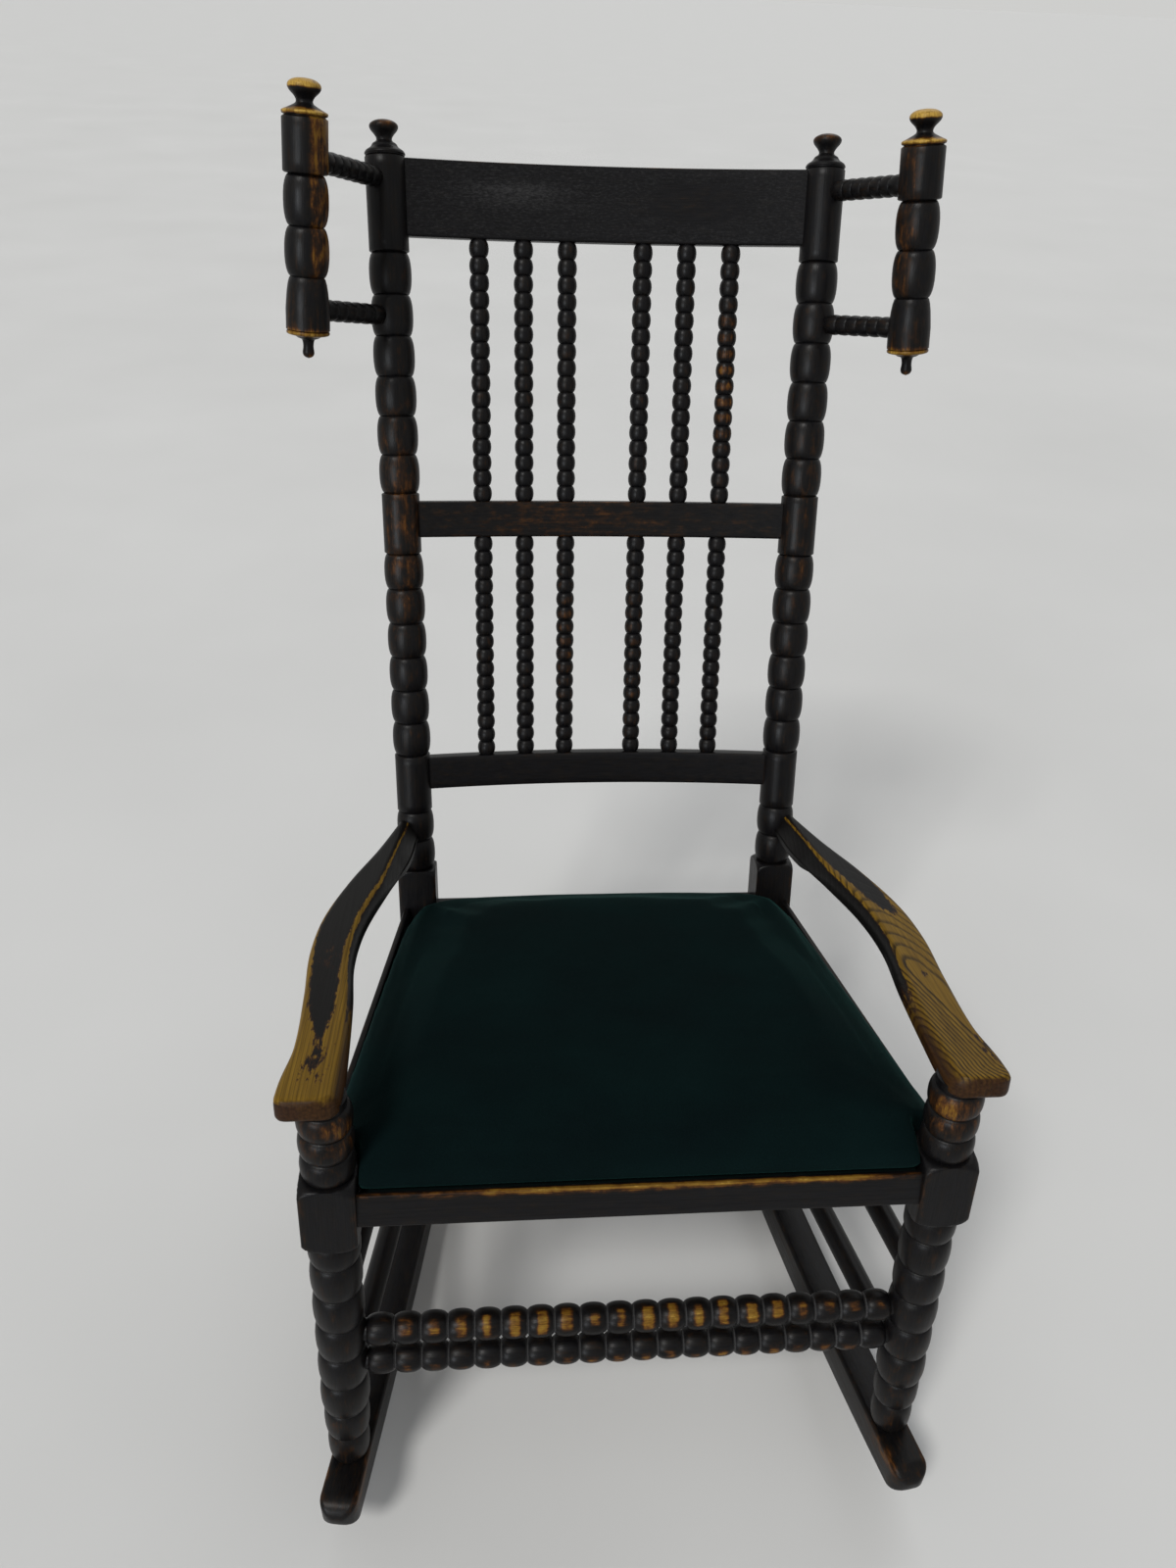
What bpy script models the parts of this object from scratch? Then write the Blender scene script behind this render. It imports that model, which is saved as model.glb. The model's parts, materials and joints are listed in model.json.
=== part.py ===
"""Winged bobbin rocking chair in ebonised ash, with a drop-in velvet seat.

Metres, +Z up. The chair faces -Y, and its left side as seen from the front is -X.
Every stick, rail and post is its own object, seated in its neighbours by a tenon
or a housed end with a small clearance. Positions along a leg or a back post are
measured on its axis from the top of its square block, where the seat rails join.
"""
import math

import bmesh
import bpy
from mathutils import Matrix, Vector

# Fit of the joints, and how finely round pieces are faceted
FIT = 0.0003
POST_SIDES = 10
STICK_SIDES = 8
SPINDLE_SIDES = 6
ENVELOPE_SIDES = 12
BOBBIN_RINGS = 3
BEAD_RINGS = 2
BOW_STEPS = 8
ARM_STEPS = 14
NOSE_STEPS = 4

# Front legs: place of the block's top, lean, and turned lengths
LEG_X = 0.2438
LEG_TOP_Z = 0.4241
LEG_RAKE = math.radians(6.1)
LEG_SPREAD = math.radians(-1.47)
LEG_BLOCK = 0.044
LEG_BLOCK_LENGTH = 0.067
LEG_DIAMETER = 0.043
LEG_GROOVE = 0.036
LEG_FOOT_DIAMETER = 0.037
LEG_UPPER_RINGS = 3
LEG_UPPER_RING = 0.023
LEG_FIRST_BOBBIN = 0.0276
LEG_BOBBINS = 5
LEG_BOBBIN = 0.0379
LEG_FOOT_BOBBIN = 0.0325
LEG_FOOT_TENON_DIAMETER = 0.014
LEG_PIN_DIAMETER = 0.010
LEG_PIN = 0.012
FRONT_STRETCHER_BOBBINS = (3, 4)

# Back posts
POST_X = 0.2010
POST_Y = 0.4440
POST_TOP_Z = 0.3671
POST_RAKE = math.radians(16.35)
POST_SPREAD = math.radians(0.51)
POST_BLOCK = 0.041
POST_BLOCK_LENGTH = 0.092
POST_DIAMETER = 0.040
POST_PLAIN = 0.0376
POST_GROOVE = 0.0335
POST_RINGS = 2
POST_RING = 0.0333
LOWER_PLAIN = 0.0646
LOWER_BOBBINS = 6
LOWER_BOBBIN = 0.0355
MIDDLE_PLAIN = 0.0603
UPPER_BOBBINS = 6
UPPER_BOBBIN = 0.0366
TOP_PLAIN = 0.0833
SHOULDER = 0.0085
FINIAL_NECK = 0.0070
FINIAL_NECK_DIAMETER = 0.0145
FINIAL_KNOB = 0.0125
FINIAL_KNOB_DIAMETER = 0.0265
POST_FOOT_DIAMETER = 0.030
POST_LEG_DIAMETER = 0.036
POST_FOOT_TENON_DIAMETER = 0.014

# Back rails and their bead spindles
RAIL_BOW = 0.018
BACK_RAIL_THICKNESS = 0.016
BACK_RAIL_SEAT = 0.013
BACK_RAIL_EASE = 0.0015
CREST_HEIGHT = 0.066
CREST_RISE = 0.006
MIDDLE_HEIGHT = 0.0354
MIDDLE_RISE = 0.0037
LOWER_HEIGHT = 0.0354
LOWER_RISE = 0.0094
SPINDLE_FIRST = 0.0369
SPINDLE_STEP = 0.04265
SPINDLES_A_SIDE = 3
SPINDLE_BEADS = 16
SPINDLE_DIAMETER = 0.019
SPINDLE_GROOVE = 0.0135
SPINDLE_TENON_DIAMETER = 0.009
SPINDLE_TENON = 0.011

# Wings: a drop post on each side, held by two ringed spindles
WING_TOP = (0.2598, 0.5375, 1.1072)
WING_RAKE = math.radians(7.9)
WING_SPREAD = math.radians(-3.9)
WING_SAG = 0.0033
WING_DIAMETER = 0.038
WING_GROOVE = 0.031
WING_KNOB = 0.0135
WING_KNOB_DIAMETER = 0.0275
WING_NECK = 0.0065
WING_NECK_DIAMETER = 0.0140
WING_CAP = 0.0070
WING_CYLINDER = 0.0427
WING_BOBBIN = 0.0394
WING_BLOCK = 0.0433
WING_COLLAR = 0.0080
WING_PEG = 0.0155
WING_PEG_DIAMETER = 0.0105
WING_UPPER_JOINT = 0.0567
WING_LOWER_JOINT = 0.1745
POST_UPPER_JOINT = 0.0490
WING_SPINDLE_DIAMETER = 0.0185
WING_SPINDLE_GROOVE = 0.0160
WING_SPINDLE_PITCH = 0.0125
WING_TENON_DIAMETER = 0.009
WING_TENON = 0.011

# Seat rails, in the plane of the seat
SEAT_SLOPE = math.radians(11.0)
SEAT_DROP = 0.0127
RAIL_HEIGHT = 0.031
RAIL_THICKNESS = 0.020
RAIL_SEAT = 0.012
FRONT_RAIL_SETBACK = 0.005
SIDE_RAIL_FRONT_OFFSET = 0.0065
SIDE_RAIL_REAR_OFFSET = 0.0030
BACK_RAIL_SETBACK = 0.002
REBATE_DEPTH = 0.020
REBATE_LIP = 0.006
BACK_LIP = 0.012

# Drop-in seat: four slips, two layers of webbing and the stuffed pad
SLIP_THICKNESS = 0.014
SLIP_WIDTH = 0.042
SIDE_SLIP_WIDTH = 0.050
SLIP_CORNER_GAP = 0.001
SLIP_TONGUE = 0.012
SLIP_TONGUE_WIDTH = 0.008
SLIP_TONGUE_THICKNESS = 0.006
SLIP_TONGUE_INSET = 0.0065
STRAP_WIDTH = 0.050
STRAP_THICKNESS = 0.002
STRAP_LAP = 0.030
STRAPS = 3
PAD_COLUMNS = 4
PAD_ROWS = 5
PAD_EDGE = 0.024
PAD_CROWN = 0.016
PAD_GAP = 0.0015
PAD_BULGE = 0.003
PAD_CORNER = 0.034
PAD_REAR_DRAW = 0.013
PAD_TOP_INSET = 0.006

# Stretchers
FRONT_BEADS = 20
FRONT_BEAD_DIAMETER = 0.0275
FRONT_BEAD_GROOVE = 0.0215
FRONT_TENON_DIAMETER = 0.013
FRONT_TENON = 0.014
SIDE_STRETCHER_DIAMETER = 0.022
SIDE_STRETCHER_SEAT = 0.011
SIDE_STRETCHER_FALL = 0.066
SIDE_UPPER_DROP = 0.158
SIDE_LOWER_DROP = 0.272
BACK_STRETCHER_DROP = 0.230

# Arms
ARM_THICKNESS = 0.020
ARM_ROUNDING = 0.004
ARM_REAR_OFFSET = 0.007
ARM_REAR_SEAT = 0.012
ARM_FRONT_OFFSET = 0.0158
ARM_FRONT_REACH = 0.0210
# share of the way from post to leg, sideways swing, width
ARM_SHAPE = (
    (0.00, 0.0000, 0.0210),
    (0.13, 0.0040, 0.0320),
    (0.28, 0.0163, 0.0370),
    (0.43, 0.0242, 0.0387),
    (0.56, 0.0215, 0.0386),
    (0.70, 0.0096, 0.0398),
    (0.85, -0.0011, 0.0412),
    (0.94, -0.0040, 0.0475),
    (1.00, -0.0060, 0.0475),
)
# long ease on the inner top edge, deepest at the post, and the share where it runs out
ARM_EASE_DEPTH = 0.015
ARM_EASE_END = 0.42

# Rockers
ROCKER_RADIUS = 1.65
ROCKER_CONTACT_Y = 0.287
ROCKER_HEIGHT = 0.041
ROCKER_END_HEIGHT = 0.034
ROCKER_THICKNESS = 0.034
ROCKER_FRONT = 0.388
ROCKER_FRONT_INSET = 0.0015
ROCKER_REAR_INSET = 0.005
ROCKER_REAR = 0.378
ROCKER_FACET = 0.050
ROCKER_ROUNDING = 0.004
ROCKER_TENON = 0.018
TRIM_WIDTH = 0.090
TRIM_OVERLAP = 0.008

OBJECT_NAME = "bobbin_rocking_chair"
SIDES = (("left", -1), ("right", 1))
WORLD_X = Vector((1.0, 0.0, 0.0))
WORLD_Y = Vector((0.0, 1.0, 0.0))
WORLD_Z = Vector((0.0, 0.0, 1.0))


# Scene, materials and basic shapes

def clear_scene():
    for item in list(bpy.data.objects):
        bpy.data.objects.remove(item, do_unlink=True)


def new_collection(name):
    collection = bpy.data.collections.new(name)
    bpy.context.scene.collection.children.link(collection)
    return collection


def new_material(name, colour, roughness):
    material = bpy.data.materials.new(name)
    material.use_nodes = True
    shader = material.node_tree.nodes["Principled BSDF"]
    shader.inputs["Base Color"].default_value = (*colour, 1.0)
    shader.inputs["Roughness"].default_value = roughness
    shader.inputs["Metallic"].default_value = 0.0
    return material


clear_scene()
PARTS = new_collection(OBJECT_NAME)
CUTTERS = new_collection("cutters")
EBONISED = new_material("ebonised_ash", (0.020, 0.018, 0.018), 0.35)
WORN_ASH = new_material("worn_ash", (0.190, 0.105, 0.045), 0.45)
PINE = new_material("pine", (0.480, 0.330, 0.190), 0.60)
JUTE = new_material("jute_webbing", (0.420, 0.310, 0.180), 0.90)
VELVET = new_material("green_velvet", (0.008, 0.050, 0.044), 0.95)


def add_part(name, mesh, matrix, material):
    part = bpy.data.objects.new(name, mesh)
    part.matrix_world = matrix
    mesh.materials.clear()
    mesh.materials.append(material)
    PARTS.objects.link(part)
    return part


def add_cutter(name, mesh, matrix):
    cutter = bpy.data.objects.new(name, mesh)
    cutter.matrix_world = matrix
    cutter.hide_render = True
    cutter.display_type = "WIRE"
    CUTTERS.objects.link(cutter)
    return cutter


def boolean(target, tool, operation):
    modifier = target.modifiers.new(tool.name, "BOOLEAN")
    modifier.operation = operation
    modifier.solver = "EXACT"
    modifier.object = tool


def cut(target, *tools):
    for tool in tools:
        boolean(target, tool, "DIFFERENCE")


def join(target, *tools):
    for tool in tools:
        boolean(target, tool, "UNION")


def bevel(part, width, segments):
    modifier = part.modifiers.new("rounding", "BEVEL")
    modifier.width = width
    modifier.segments = segments
    modifier.limit_method = "ANGLE"
    modifier.angle_limit = math.radians(50)


def frame_along(origin, direction, side_hint=WORLD_Y):
    """Local Z runs along direction, and local X is square to it and to side_hint."""
    z_axis = direction.normalized()
    x_axis = side_hint.cross(z_axis).normalized()
    y_axis = z_axis.cross(x_axis)
    matrix = Matrix((x_axis, y_axis, z_axis)).transposed().to_4x4()
    matrix.translation = origin
    return matrix


def turned_mesh(name, profile):
    """Profile of (radius, height) pairs that runs from the top down."""
    mesh = bpy.data.meshes.new(name)
    edges = [(i, i + 1) for i in range(len(profile) - 1)]
    mesh.from_pydata([(radius, 0.0, height) for radius, height in profile], edges, [])
    return mesh


def add_screw(part, sides):
    screw = part.modifiers.new("turning", "SCREW")
    screw.axis = "Z"
    screw.angle = math.tau
    screw.steps = sides
    screw.render_steps = sides
    screw.use_merge_vertices = True
    screw.merge_threshold = 0.00001
    screw.use_smooth_shade = True


def turned_part(name, profile, sides, matrix, material):
    part = add_part(name, turned_mesh(name, profile), matrix, material)
    add_screw(part, sides)
    return part


def turned_cutter(name, profile, sides, matrix):
    cutter = add_cutter(name, turned_mesh(name, profile), matrix)
    add_screw(cutter, sides)
    return cutter


def bar_profile(radius, bottom, top):
    return [(0.0, top), (radius, top), (radius, bottom), (0.0, bottom)]


def bore_radius(radius):
    """Radius of a faceted bore that clears a round tenon all the way round."""
    return (radius + FIT) / math.cos(math.pi / STICK_SIDES)


def bore(name, start, end, radius):
    """Cutter for the tenons at both ends of a stick that runs from start to end."""
    length = (end - start).length
    profile = bar_profile(bore_radius(radius), -FIT, length + FIT)
    hint = WORLD_Y if abs((end - start).normalized().y) < 0.9 else WORLD_X
    return turned_cutter(name, profile, STICK_SIDES, frame_along(start, end - start, hint))


def box_mesh(name, size):
    mesh = bpy.data.meshes.new(name)
    shape = bmesh.new()
    bmesh.ops.create_cube(shape, size=1.0, matrix=Matrix.Diagonal((*size, 1.0)))
    shape.to_mesh(mesh)
    shape.free()
    return mesh


def outline_mesh(name, outline, thickness):
    """Flat outline, extruded evenly to both sides of its plane and made a mesh."""
    curve = bpy.data.curves.new(name, "CURVE")
    curve.dimensions = "2D"
    curve.fill_mode = "BOTH"
    curve.extrude = thickness / 2
    spline = curve.splines.new("POLY")
    spline.points.add(len(outline) - 1)
    for point, (x, y) in zip(spline.points, outline):
        point.co = (x, y, 0.0, 1.0)
    spline.use_cyclic_u = True
    holder = bpy.data.objects.new(name, curve)
    CUTTERS.objects.link(holder)
    bpy.context.view_layer.update()
    graph = bpy.context.evaluated_depsgraph_get()
    mesh = bpy.data.meshes.new_from_object(holder.evaluated_get(graph))
    bpy.data.objects.remove(holder, do_unlink=True)
    shape = bmesh.new()
    shape.from_mesh(mesh)
    bmesh.ops.remove_doubles(shape, verts=shape.verts, dist=0.00001)
    bmesh.ops.recalc_face_normals(shape, faces=shape.faces)
    shape.to_mesh(mesh)
    shape.free()
    return mesh


# Turned shapes

def bobbin(top, length, diameter, groove, rings):
    """Profile points of one bobbin, without its lower groove."""
    swell = [math.sin(math.pi * i / rings) ** 0.5 for i in range(1, rings)]
    points = [(groove / 2, top)]
    for i, share in enumerate(swell, start=1):
        radius = groove / 2 + (diameter - groove) / 2 * share / max(swell)
        points.append((radius, top - length * i / rings))
    return points


def bobbin_run(top, count, length, diameter, groove, rings):
    points = []
    for i in range(count):
        points += bobbin(top - i * length, length, diameter, groove, rings)
    return points


def bead_stick(length, beads, diameter, groove, tenon_diameter, tenon):
    """Beads from height 0 to length, with a tenon past each end."""
    points = [(0.0, length + tenon), (tenon_diameter / 2, length + tenon), (tenon_diameter / 2, length)]
    points += bobbin_run(length, beads, length / beads, diameter, groove, BEAD_RINGS)
    points += [(groove / 2, 0.0), (tenon_diameter / 2, 0.0), (tenon_diameter / 2, -tenon), (0.0, -tenon)]
    return points


def square_block(name, size, length, diameter, matrix):
    """Square block below height 0 whose corners are turned away at both ends."""
    middle = matrix @ Matrix.Translation((0.0, 0.0, -length / 2))
    block = add_cutter(name, box_mesh(name, (size, size, length)), middle)
    shoulder = (size * math.sqrt(2) - diameter) / 2
    rim = diameter / 2
    corner = rim + shoulder * 1.1
    profile = [
        (0.0, FIT), (rim, FIT), (corner, -shoulder), (corner, shoulder - length),
        (rim, -length - FIT), (0.0, -length - FIT),
    ]
    envelope = turned_cutter(name + "_turning", profile, ENVELOPE_SIDES, matrix)
    boolean(block, envelope, "INTERSECT")
    return block


# Axes and frames

def lean(side, rake, spread):
    return Vector((side * math.tan(spread), math.tan(rake), 1.0)).normalized()


def leg_up(side):
    return lean(side, LEG_RAKE, LEG_SPREAD)


def leg_point(side, height):
    return Vector((side * LEG_X, 0.0, LEG_TOP_Z)) + leg_up(side) * height


def post_up(side):
    return lean(side, POST_RAKE, POST_SPREAD)


def post_point(side, height):
    return Vector((side * POST_X, POST_Y, POST_TOP_Z)) + post_up(side) * height


def wing_down(side):
    return -lean(side, WING_RAKE, WING_SPREAD)


def wing_point(side, depth):
    x, y, z = WING_TOP
    return Vector((side * x, y, z - side * WING_SAG)) + wing_down(side) * depth


def axis_at_height(point, direction, z):
    return point + direction * ((z - point.z) / direction.z)


POST_RINGS_TOP = POST_RINGS * POST_RING
LOWER_PLAIN_TOP = POST_RINGS_TOP + LOWER_PLAIN
LOWER_BOBBINS_TOP = LOWER_PLAIN_TOP + LOWER_BOBBINS * LOWER_BOBBIN
MIDDLE_PLAIN_TOP = LOWER_BOBBINS_TOP + MIDDLE_PLAIN
UPPER_BOBBINS_TOP = MIDDLE_PLAIN_TOP + UPPER_BOBBINS * UPPER_BOBBIN
TOP_PLAIN_TOP = UPPER_BOBBINS_TOP + TOP_PLAIN
POST_TOP = TOP_PLAIN_TOP + SHOULDER + FINIAL_NECK + FINIAL_KNOB

CREST_CENTRE = (UPPER_BOBBINS_TOP + TOP_PLAIN_TOP) / 2 + CREST_RISE
MIDDLE_CENTRE = (LOWER_BOBBINS_TOP + MIDDLE_PLAIN_TOP) / 2 + MIDDLE_RISE
LOWER_CENTRE = (POST_RINGS_TOP + LOWER_PLAIN_TOP) / 2 + LOWER_RISE


def back_frame(height):
    """Plane of the back: X across, Z up along the posts, Y backwards."""
    up = Vector((0.0, math.sin(POST_RAKE), math.cos(POST_RAKE)))
    base = Vector((0.0, POST_Y, POST_TOP_Z))
    rise = height * post_up(1).dot(up)
    return frame_along(base + up * rise, up)


def back_half_width(height):
    return post_point(1, height).x


def seat_frame():
    """Plane of the rails' tops: X across, Y to the rear, Z square to the seat."""
    origin = leg_point(1, -SEAT_DROP)
    origin.x = 0.0
    return frame_along(origin, Vector((0.0, math.sin(SEAT_SLOPE), math.cos(SEAT_SLOPE))))


def crossing(frame, point, direction):
    """Where an axis crosses the plane of a frame, as (x, y) in that frame."""
    inverse = frame.inverted()
    start = inverse @ point
    run = inverse.to_3x3() @ direction
    spot = start - run * (start.z / run.z)
    return spot.x, spot.y


LEG_SEAT_X, LEG_SEAT_Y = crossing(seat_frame(), leg_point(1, 0.0), leg_up(1))
POST_SEAT_X, POST_SEAT_Y = crossing(seat_frame(), post_point(1, 0.0), post_up(1))
FRONT_RAIL_Y = LEG_SEAT_Y - LEG_BLOCK / 2 + FRONT_RAIL_SETBACK
BACK_RAIL_Y = POST_SEAT_Y - POST_BLOCK / 2 + BACK_RAIL_SETBACK
SIDE_RAIL_START = LEG_SEAT_Y + LEG_BLOCK / 2 - RAIL_SEAT
SIDE_RAIL_END = POST_SEAT_Y - POST_BLOCK / 2 + RAIL_SEAT


def side_rail_x(y, offset):
    """Line beside the side rail's centre line, offset outwards, on the +X side."""
    front = LEG_SEAT_X + SIDE_RAIL_FRONT_OFFSET
    rear = POST_SEAT_X + SIDE_RAIL_REAR_OFFSET
    share = (y - LEG_SEAT_Y) / (POST_SEAT_Y - LEG_SEAT_Y)
    return front + (rear - front) * share + offset


def arm_frame():
    """Plane of the arms' undersides, parallel to the seat, at the top of the legs' rings."""
    origin = leg_point(1, LEG_UPPER_RINGS * LEG_UPPER_RING)
    origin.x = 0.0
    return frame_along(origin, Vector((0.0, math.sin(SEAT_SLOPE), math.cos(SEAT_SLOPE))))


# Rocker geometry, in the upright plane through both feet of one side

def rocker_bottom(x):
    """Height of the curved underside, flat over the middle facet."""
    flat = ROCKER_FACET / 2
    drop = ROCKER_RADIUS - math.sqrt(ROCKER_RADIUS ** 2 - x ** 2)
    return max(0.0, drop - (ROCKER_RADIUS - math.sqrt(ROCKER_RADIUS ** 2 - flat ** 2)))


def rocker_depth(x):
    reach = ROCKER_FRONT if x < 0 else ROCKER_REAR
    return ROCKER_HEIGHT + (ROCKER_END_HEIGHT - ROCKER_HEIGHT) * (x / reach) ** 6


def rocker_top(x):
    return rocker_bottom(x) + rocker_depth(x)


def rocker_stations():
    """Places along the rocker where its facets meet, from toe to tail."""
    front = ROCKER_END_HEIGHT / 2 - ROCKER_FRONT
    rear = ROCKER_REAR - ROCKER_END_HEIGHT / 2
    inner_front = int((-front - ROCKER_FACET) / ROCKER_FACET)
    inner_rear = int((rear - ROCKER_FACET) / ROCKER_FACET)
    middle = [(i + 0.5) * ROCKER_FACET for i in range(-inner_front - 1, inner_rear + 1)]
    return [front] + middle + [rear]


def rocker_nose(x, start_angle, grow):
    """Half-round end of the rocker, turned through half a circle from start_angle."""
    radius = rocker_depth(x) / 2 + grow
    centre = rocker_bottom(x) + rocker_depth(x) / 2
    angles = [start_angle + math.pi * i / NOSE_STEPS for i in range(1, NOSE_STEPS)]
    return [(x + radius * math.cos(a), centre + radius * math.sin(a)) for a in angles]


def rocker_outline(grow):
    stations = rocker_stations()
    outline = [(x, rocker_bottom(x) - grow) for x in stations]
    outline += rocker_nose(stations[-1], -math.pi / 2, grow)
    outline += [(x, rocker_top(x) + grow) for x in reversed(stations)]
    outline += rocker_nose(stations[0], math.pi / 2, grow)
    return outline


def feet(side):
    """Points where the leg's and the post's axes meet the top of their rocker."""
    front_z = ROCKER_HEIGHT
    rear_z = ROCKER_HEIGHT
    for _ in range(8):
        front = axis_at_height(leg_point(side, 0.0), leg_up(side), front_z)
        rear = axis_at_height(post_point(side, 0.0), post_up(side), rear_z)
        run = Vector((rear.x - front.x, rear.y - front.y, 0.0)).normalized()
        front_z = rocker_top((front.y - ROCKER_CONTACT_Y) / run.y)
        rear_z = rocker_top((rear.y - ROCKER_CONTACT_Y) / run.y)
    return front, rear


def rocker_frame(side):
    """Local X runs to the tail, local Y is up; the origin is the floor contact."""
    front, rear = feet(side)
    front.x -= side * ROCKER_FRONT_INSET
    rear.x -= side * ROCKER_REAR_INSET
    run = Vector((rear.x - front.x, rear.y - front.y, 0.0)).normalized()
    origin = front + run * ((ROCKER_CONTACT_Y - front.y) / run.y)
    origin.z = 0.0
    matrix = Matrix((run, WORLD_Z, run.cross(WORLD_Z))).transposed().to_4x4()
    matrix.translation = origin
    return matrix


LEG_FOOT = (feet(1)[0] - leg_point(1, 0.0)).length
POST_FOOT = (feet(1)[1] - post_point(1, 0.0)).length


# Profiles of the turned pieces, heights from the top of the block

def knob(top, length, diameter, neck):
    radius = diameter / 2
    return [
        (0.0, top), (radius * 0.70, top - length * 0.08), (radius, top - length * 0.38),
        (radius * 0.95, top - length * 0.66), (neck / 2, top - length),
    ]


def plain(top, bottom, diameter, groove):
    """Plain stretch between two runs of bobbins, eased at both ends."""
    ease = (diameter - groove) / 2
    return [(groove / 2, top), (diameter / 2, top - ease), (diameter / 2, bottom + ease)]


def leg_profile():
    top = LEG_UPPER_RINGS * LEG_UPPER_RING
    first = -LEG_BLOCK_LENGTH
    second = first - LEG_FIRST_BOBBIN
    foot_bobbin = second - LEG_BOBBINS * LEG_BOBBIN
    last = foot_bobbin - LEG_FOOT_BOBBIN
    middle_diameter = (LEG_DIAMETER + LEG_FOOT_DIAMETER) / 2
    foot_groove = LEG_FOOT_DIAMETER - (LEG_DIAMETER - LEG_GROOVE)
    points = [(0.0, top + TRIM_OVERLAP), (LEG_GROOVE / 2, top + TRIM_OVERLAP)]
    points += bobbin_run(top, LEG_UPPER_RINGS, LEG_UPPER_RING, LEG_DIAMETER, LEG_GROOVE, BOBBIN_RINGS)
    points += [(LEG_GROOVE / 2, 0.0)]
    points += bobbin(first, LEG_FIRST_BOBBIN, LEG_DIAMETER, LEG_GROOVE, BOBBIN_RINGS)
    points += bobbin_run(second, LEG_BOBBINS, LEG_BOBBIN, LEG_DIAMETER, LEG_GROOVE, BOBBIN_RINGS)
    points += bobbin(foot_bobbin, LEG_FOOT_BOBBIN, middle_diameter, LEG_GROOVE, BOBBIN_RINGS)
    points += bobbin(last, LEG_FOOT + last, LEG_FOOT_DIAMETER, foot_groove, BOBBIN_RINGS)
    points += [(foot_groove / 2, -LEG_FOOT), (foot_groove / 2, -LEG_FOOT - TRIM_OVERLAP)]
    return points + [(0.0, -LEG_FOOT - TRIM_OVERLAP)]


def post_profile():
    neck_top = POST_TOP - FINIAL_KNOB
    shoulder_top = neck_top - FINIAL_NECK
    body = (POST_DIAMETER, POST_GROOVE, BOBBIN_RINGS)
    points = knob(POST_TOP, FINIAL_KNOB, FINIAL_KNOB_DIAMETER, FINIAL_NECK_DIAMETER)
    points += [(FINIAL_NECK_DIAMETER / 2, shoulder_top), (POST_PLAIN / 2, TOP_PLAIN_TOP)]
    points += [(POST_PLAIN / 2, UPPER_BOBBINS_TOP + (POST_PLAIN - POST_GROOVE) / 2)]
    points += bobbin_run(UPPER_BOBBINS_TOP, UPPER_BOBBINS, UPPER_BOBBIN, *body)
    points += plain(MIDDLE_PLAIN_TOP, LOWER_BOBBINS_TOP, POST_PLAIN, POST_GROOVE)
    points += bobbin_run(LOWER_BOBBINS_TOP, LOWER_BOBBINS, LOWER_BOBBIN, *body)
    points += plain(LOWER_PLAIN_TOP, POST_RINGS_TOP, POST_PLAIN, POST_GROOVE)
    points += bobbin_run(POST_RINGS_TOP, POST_RINGS, POST_RING, *body)
    points += [(POST_GROOVE / 2, 0.0), (POST_GROOVE / 2, -POST_BLOCK_LENGTH)]
    points += [(POST_LEG_DIAMETER / 2, -POST_BLOCK_LENGTH - (POST_LEG_DIAMETER - POST_GROOVE))]
    points += [(POST_FOOT_DIAMETER / 2, -POST_FOOT), (POST_FOOT_DIAMETER / 2, -POST_FOOT - TRIM_OVERLAP)]
    return points + [(0.0, -POST_FOOT - TRIM_OVERLAP)]


def wing_profile():
    """Heights from the top of the knob."""
    cap_top = -WING_KNOB - WING_NECK
    cylinder_top = cap_top - WING_CAP
    bobbins_top = cylinder_top - WING_CYLINDER
    block_top = bobbins_top - 2 * WING_BOBBIN
    collar_top = block_top - WING_BLOCK
    peg_top = collar_top - WING_COLLAR
    tip = peg_top - WING_PEG
    body = WING_DIAMETER / 2
    ease = (WING_DIAMETER - WING_GROOVE) / 2
    peg = WING_PEG_DIAMETER / 2
    points = knob(0.0, WING_KNOB, WING_KNOB_DIAMETER, WING_NECK_DIAMETER)
    points += [(WING_NECK_DIAMETER / 2, cap_top), (body, cap_top - WING_CAP * 0.7), (body - ease, cylinder_top)]
    points += [(body, cylinder_top - ease / 2), (body, bobbins_top + ease / 2)]
    points += bobbin_run(bobbins_top, 2, WING_BOBBIN, WING_DIAMETER, WING_GROOVE, BOBBIN_RINGS)
    points += [(WING_GROOVE / 2, block_top), (body, block_top - ease), (body, collar_top + ease / 2)]
    points += [(body - ease, collar_top), (body * 0.9, collar_top - WING_COLLAR * 0.4), (peg, peg_top)]
    return points + [(peg * 0.8, (peg_top + tip) / 2), (peg, tip + peg * 0.5), (peg * 0.5, tip), (0.0, tip)]


# Cutters that more than one piece shares

def span(start, end, start_inset, end_inset):
    run = (end - start).normalized()
    return start + run * start_inset, end - run * end_inset


def clear_of(axis, radius, run, reach):
    """Distance from an axis at which a stick of half width reach clears its round piece."""
    run = run.normalized()
    square = axis.cross(run).length
    return (radius + FIT + reach * abs(axis.dot(run))) / square


def arm_line(share):
    """Centre and half width of the arm at a share of its length, rear to front."""
    knots = ARM_SHAPE
    i = min(max(k for k in range(len(knots)) if knots[k][0] <= share), len(knots) - 2)
    before = knots[max(i - 1, 0)]
    after = knots[min(i + 2, len(knots) - 1)]
    gap = knots[i + 1][0] - knots[i][0]
    t = (share - knots[i][0]) / gap
    values = []
    for k in (1, 2):
        start_slope = (knots[i + 1][k] - before[k]) / (knots[i + 1][0] - before[0]) * gap
        end_slope = (after[k] - knots[i][k]) / (after[0] - knots[i][0]) * gap
        rise = knots[i + 1][k] - knots[i][k]
        cubic = start_slope + end_slope - 2 * rise
        square = 3 * rise - 2 * start_slope - end_slope
        values.append(knots[i][k] + t * (start_slope + t * (square + t * cubic)))
    return values[0], values[1] / 2


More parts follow.
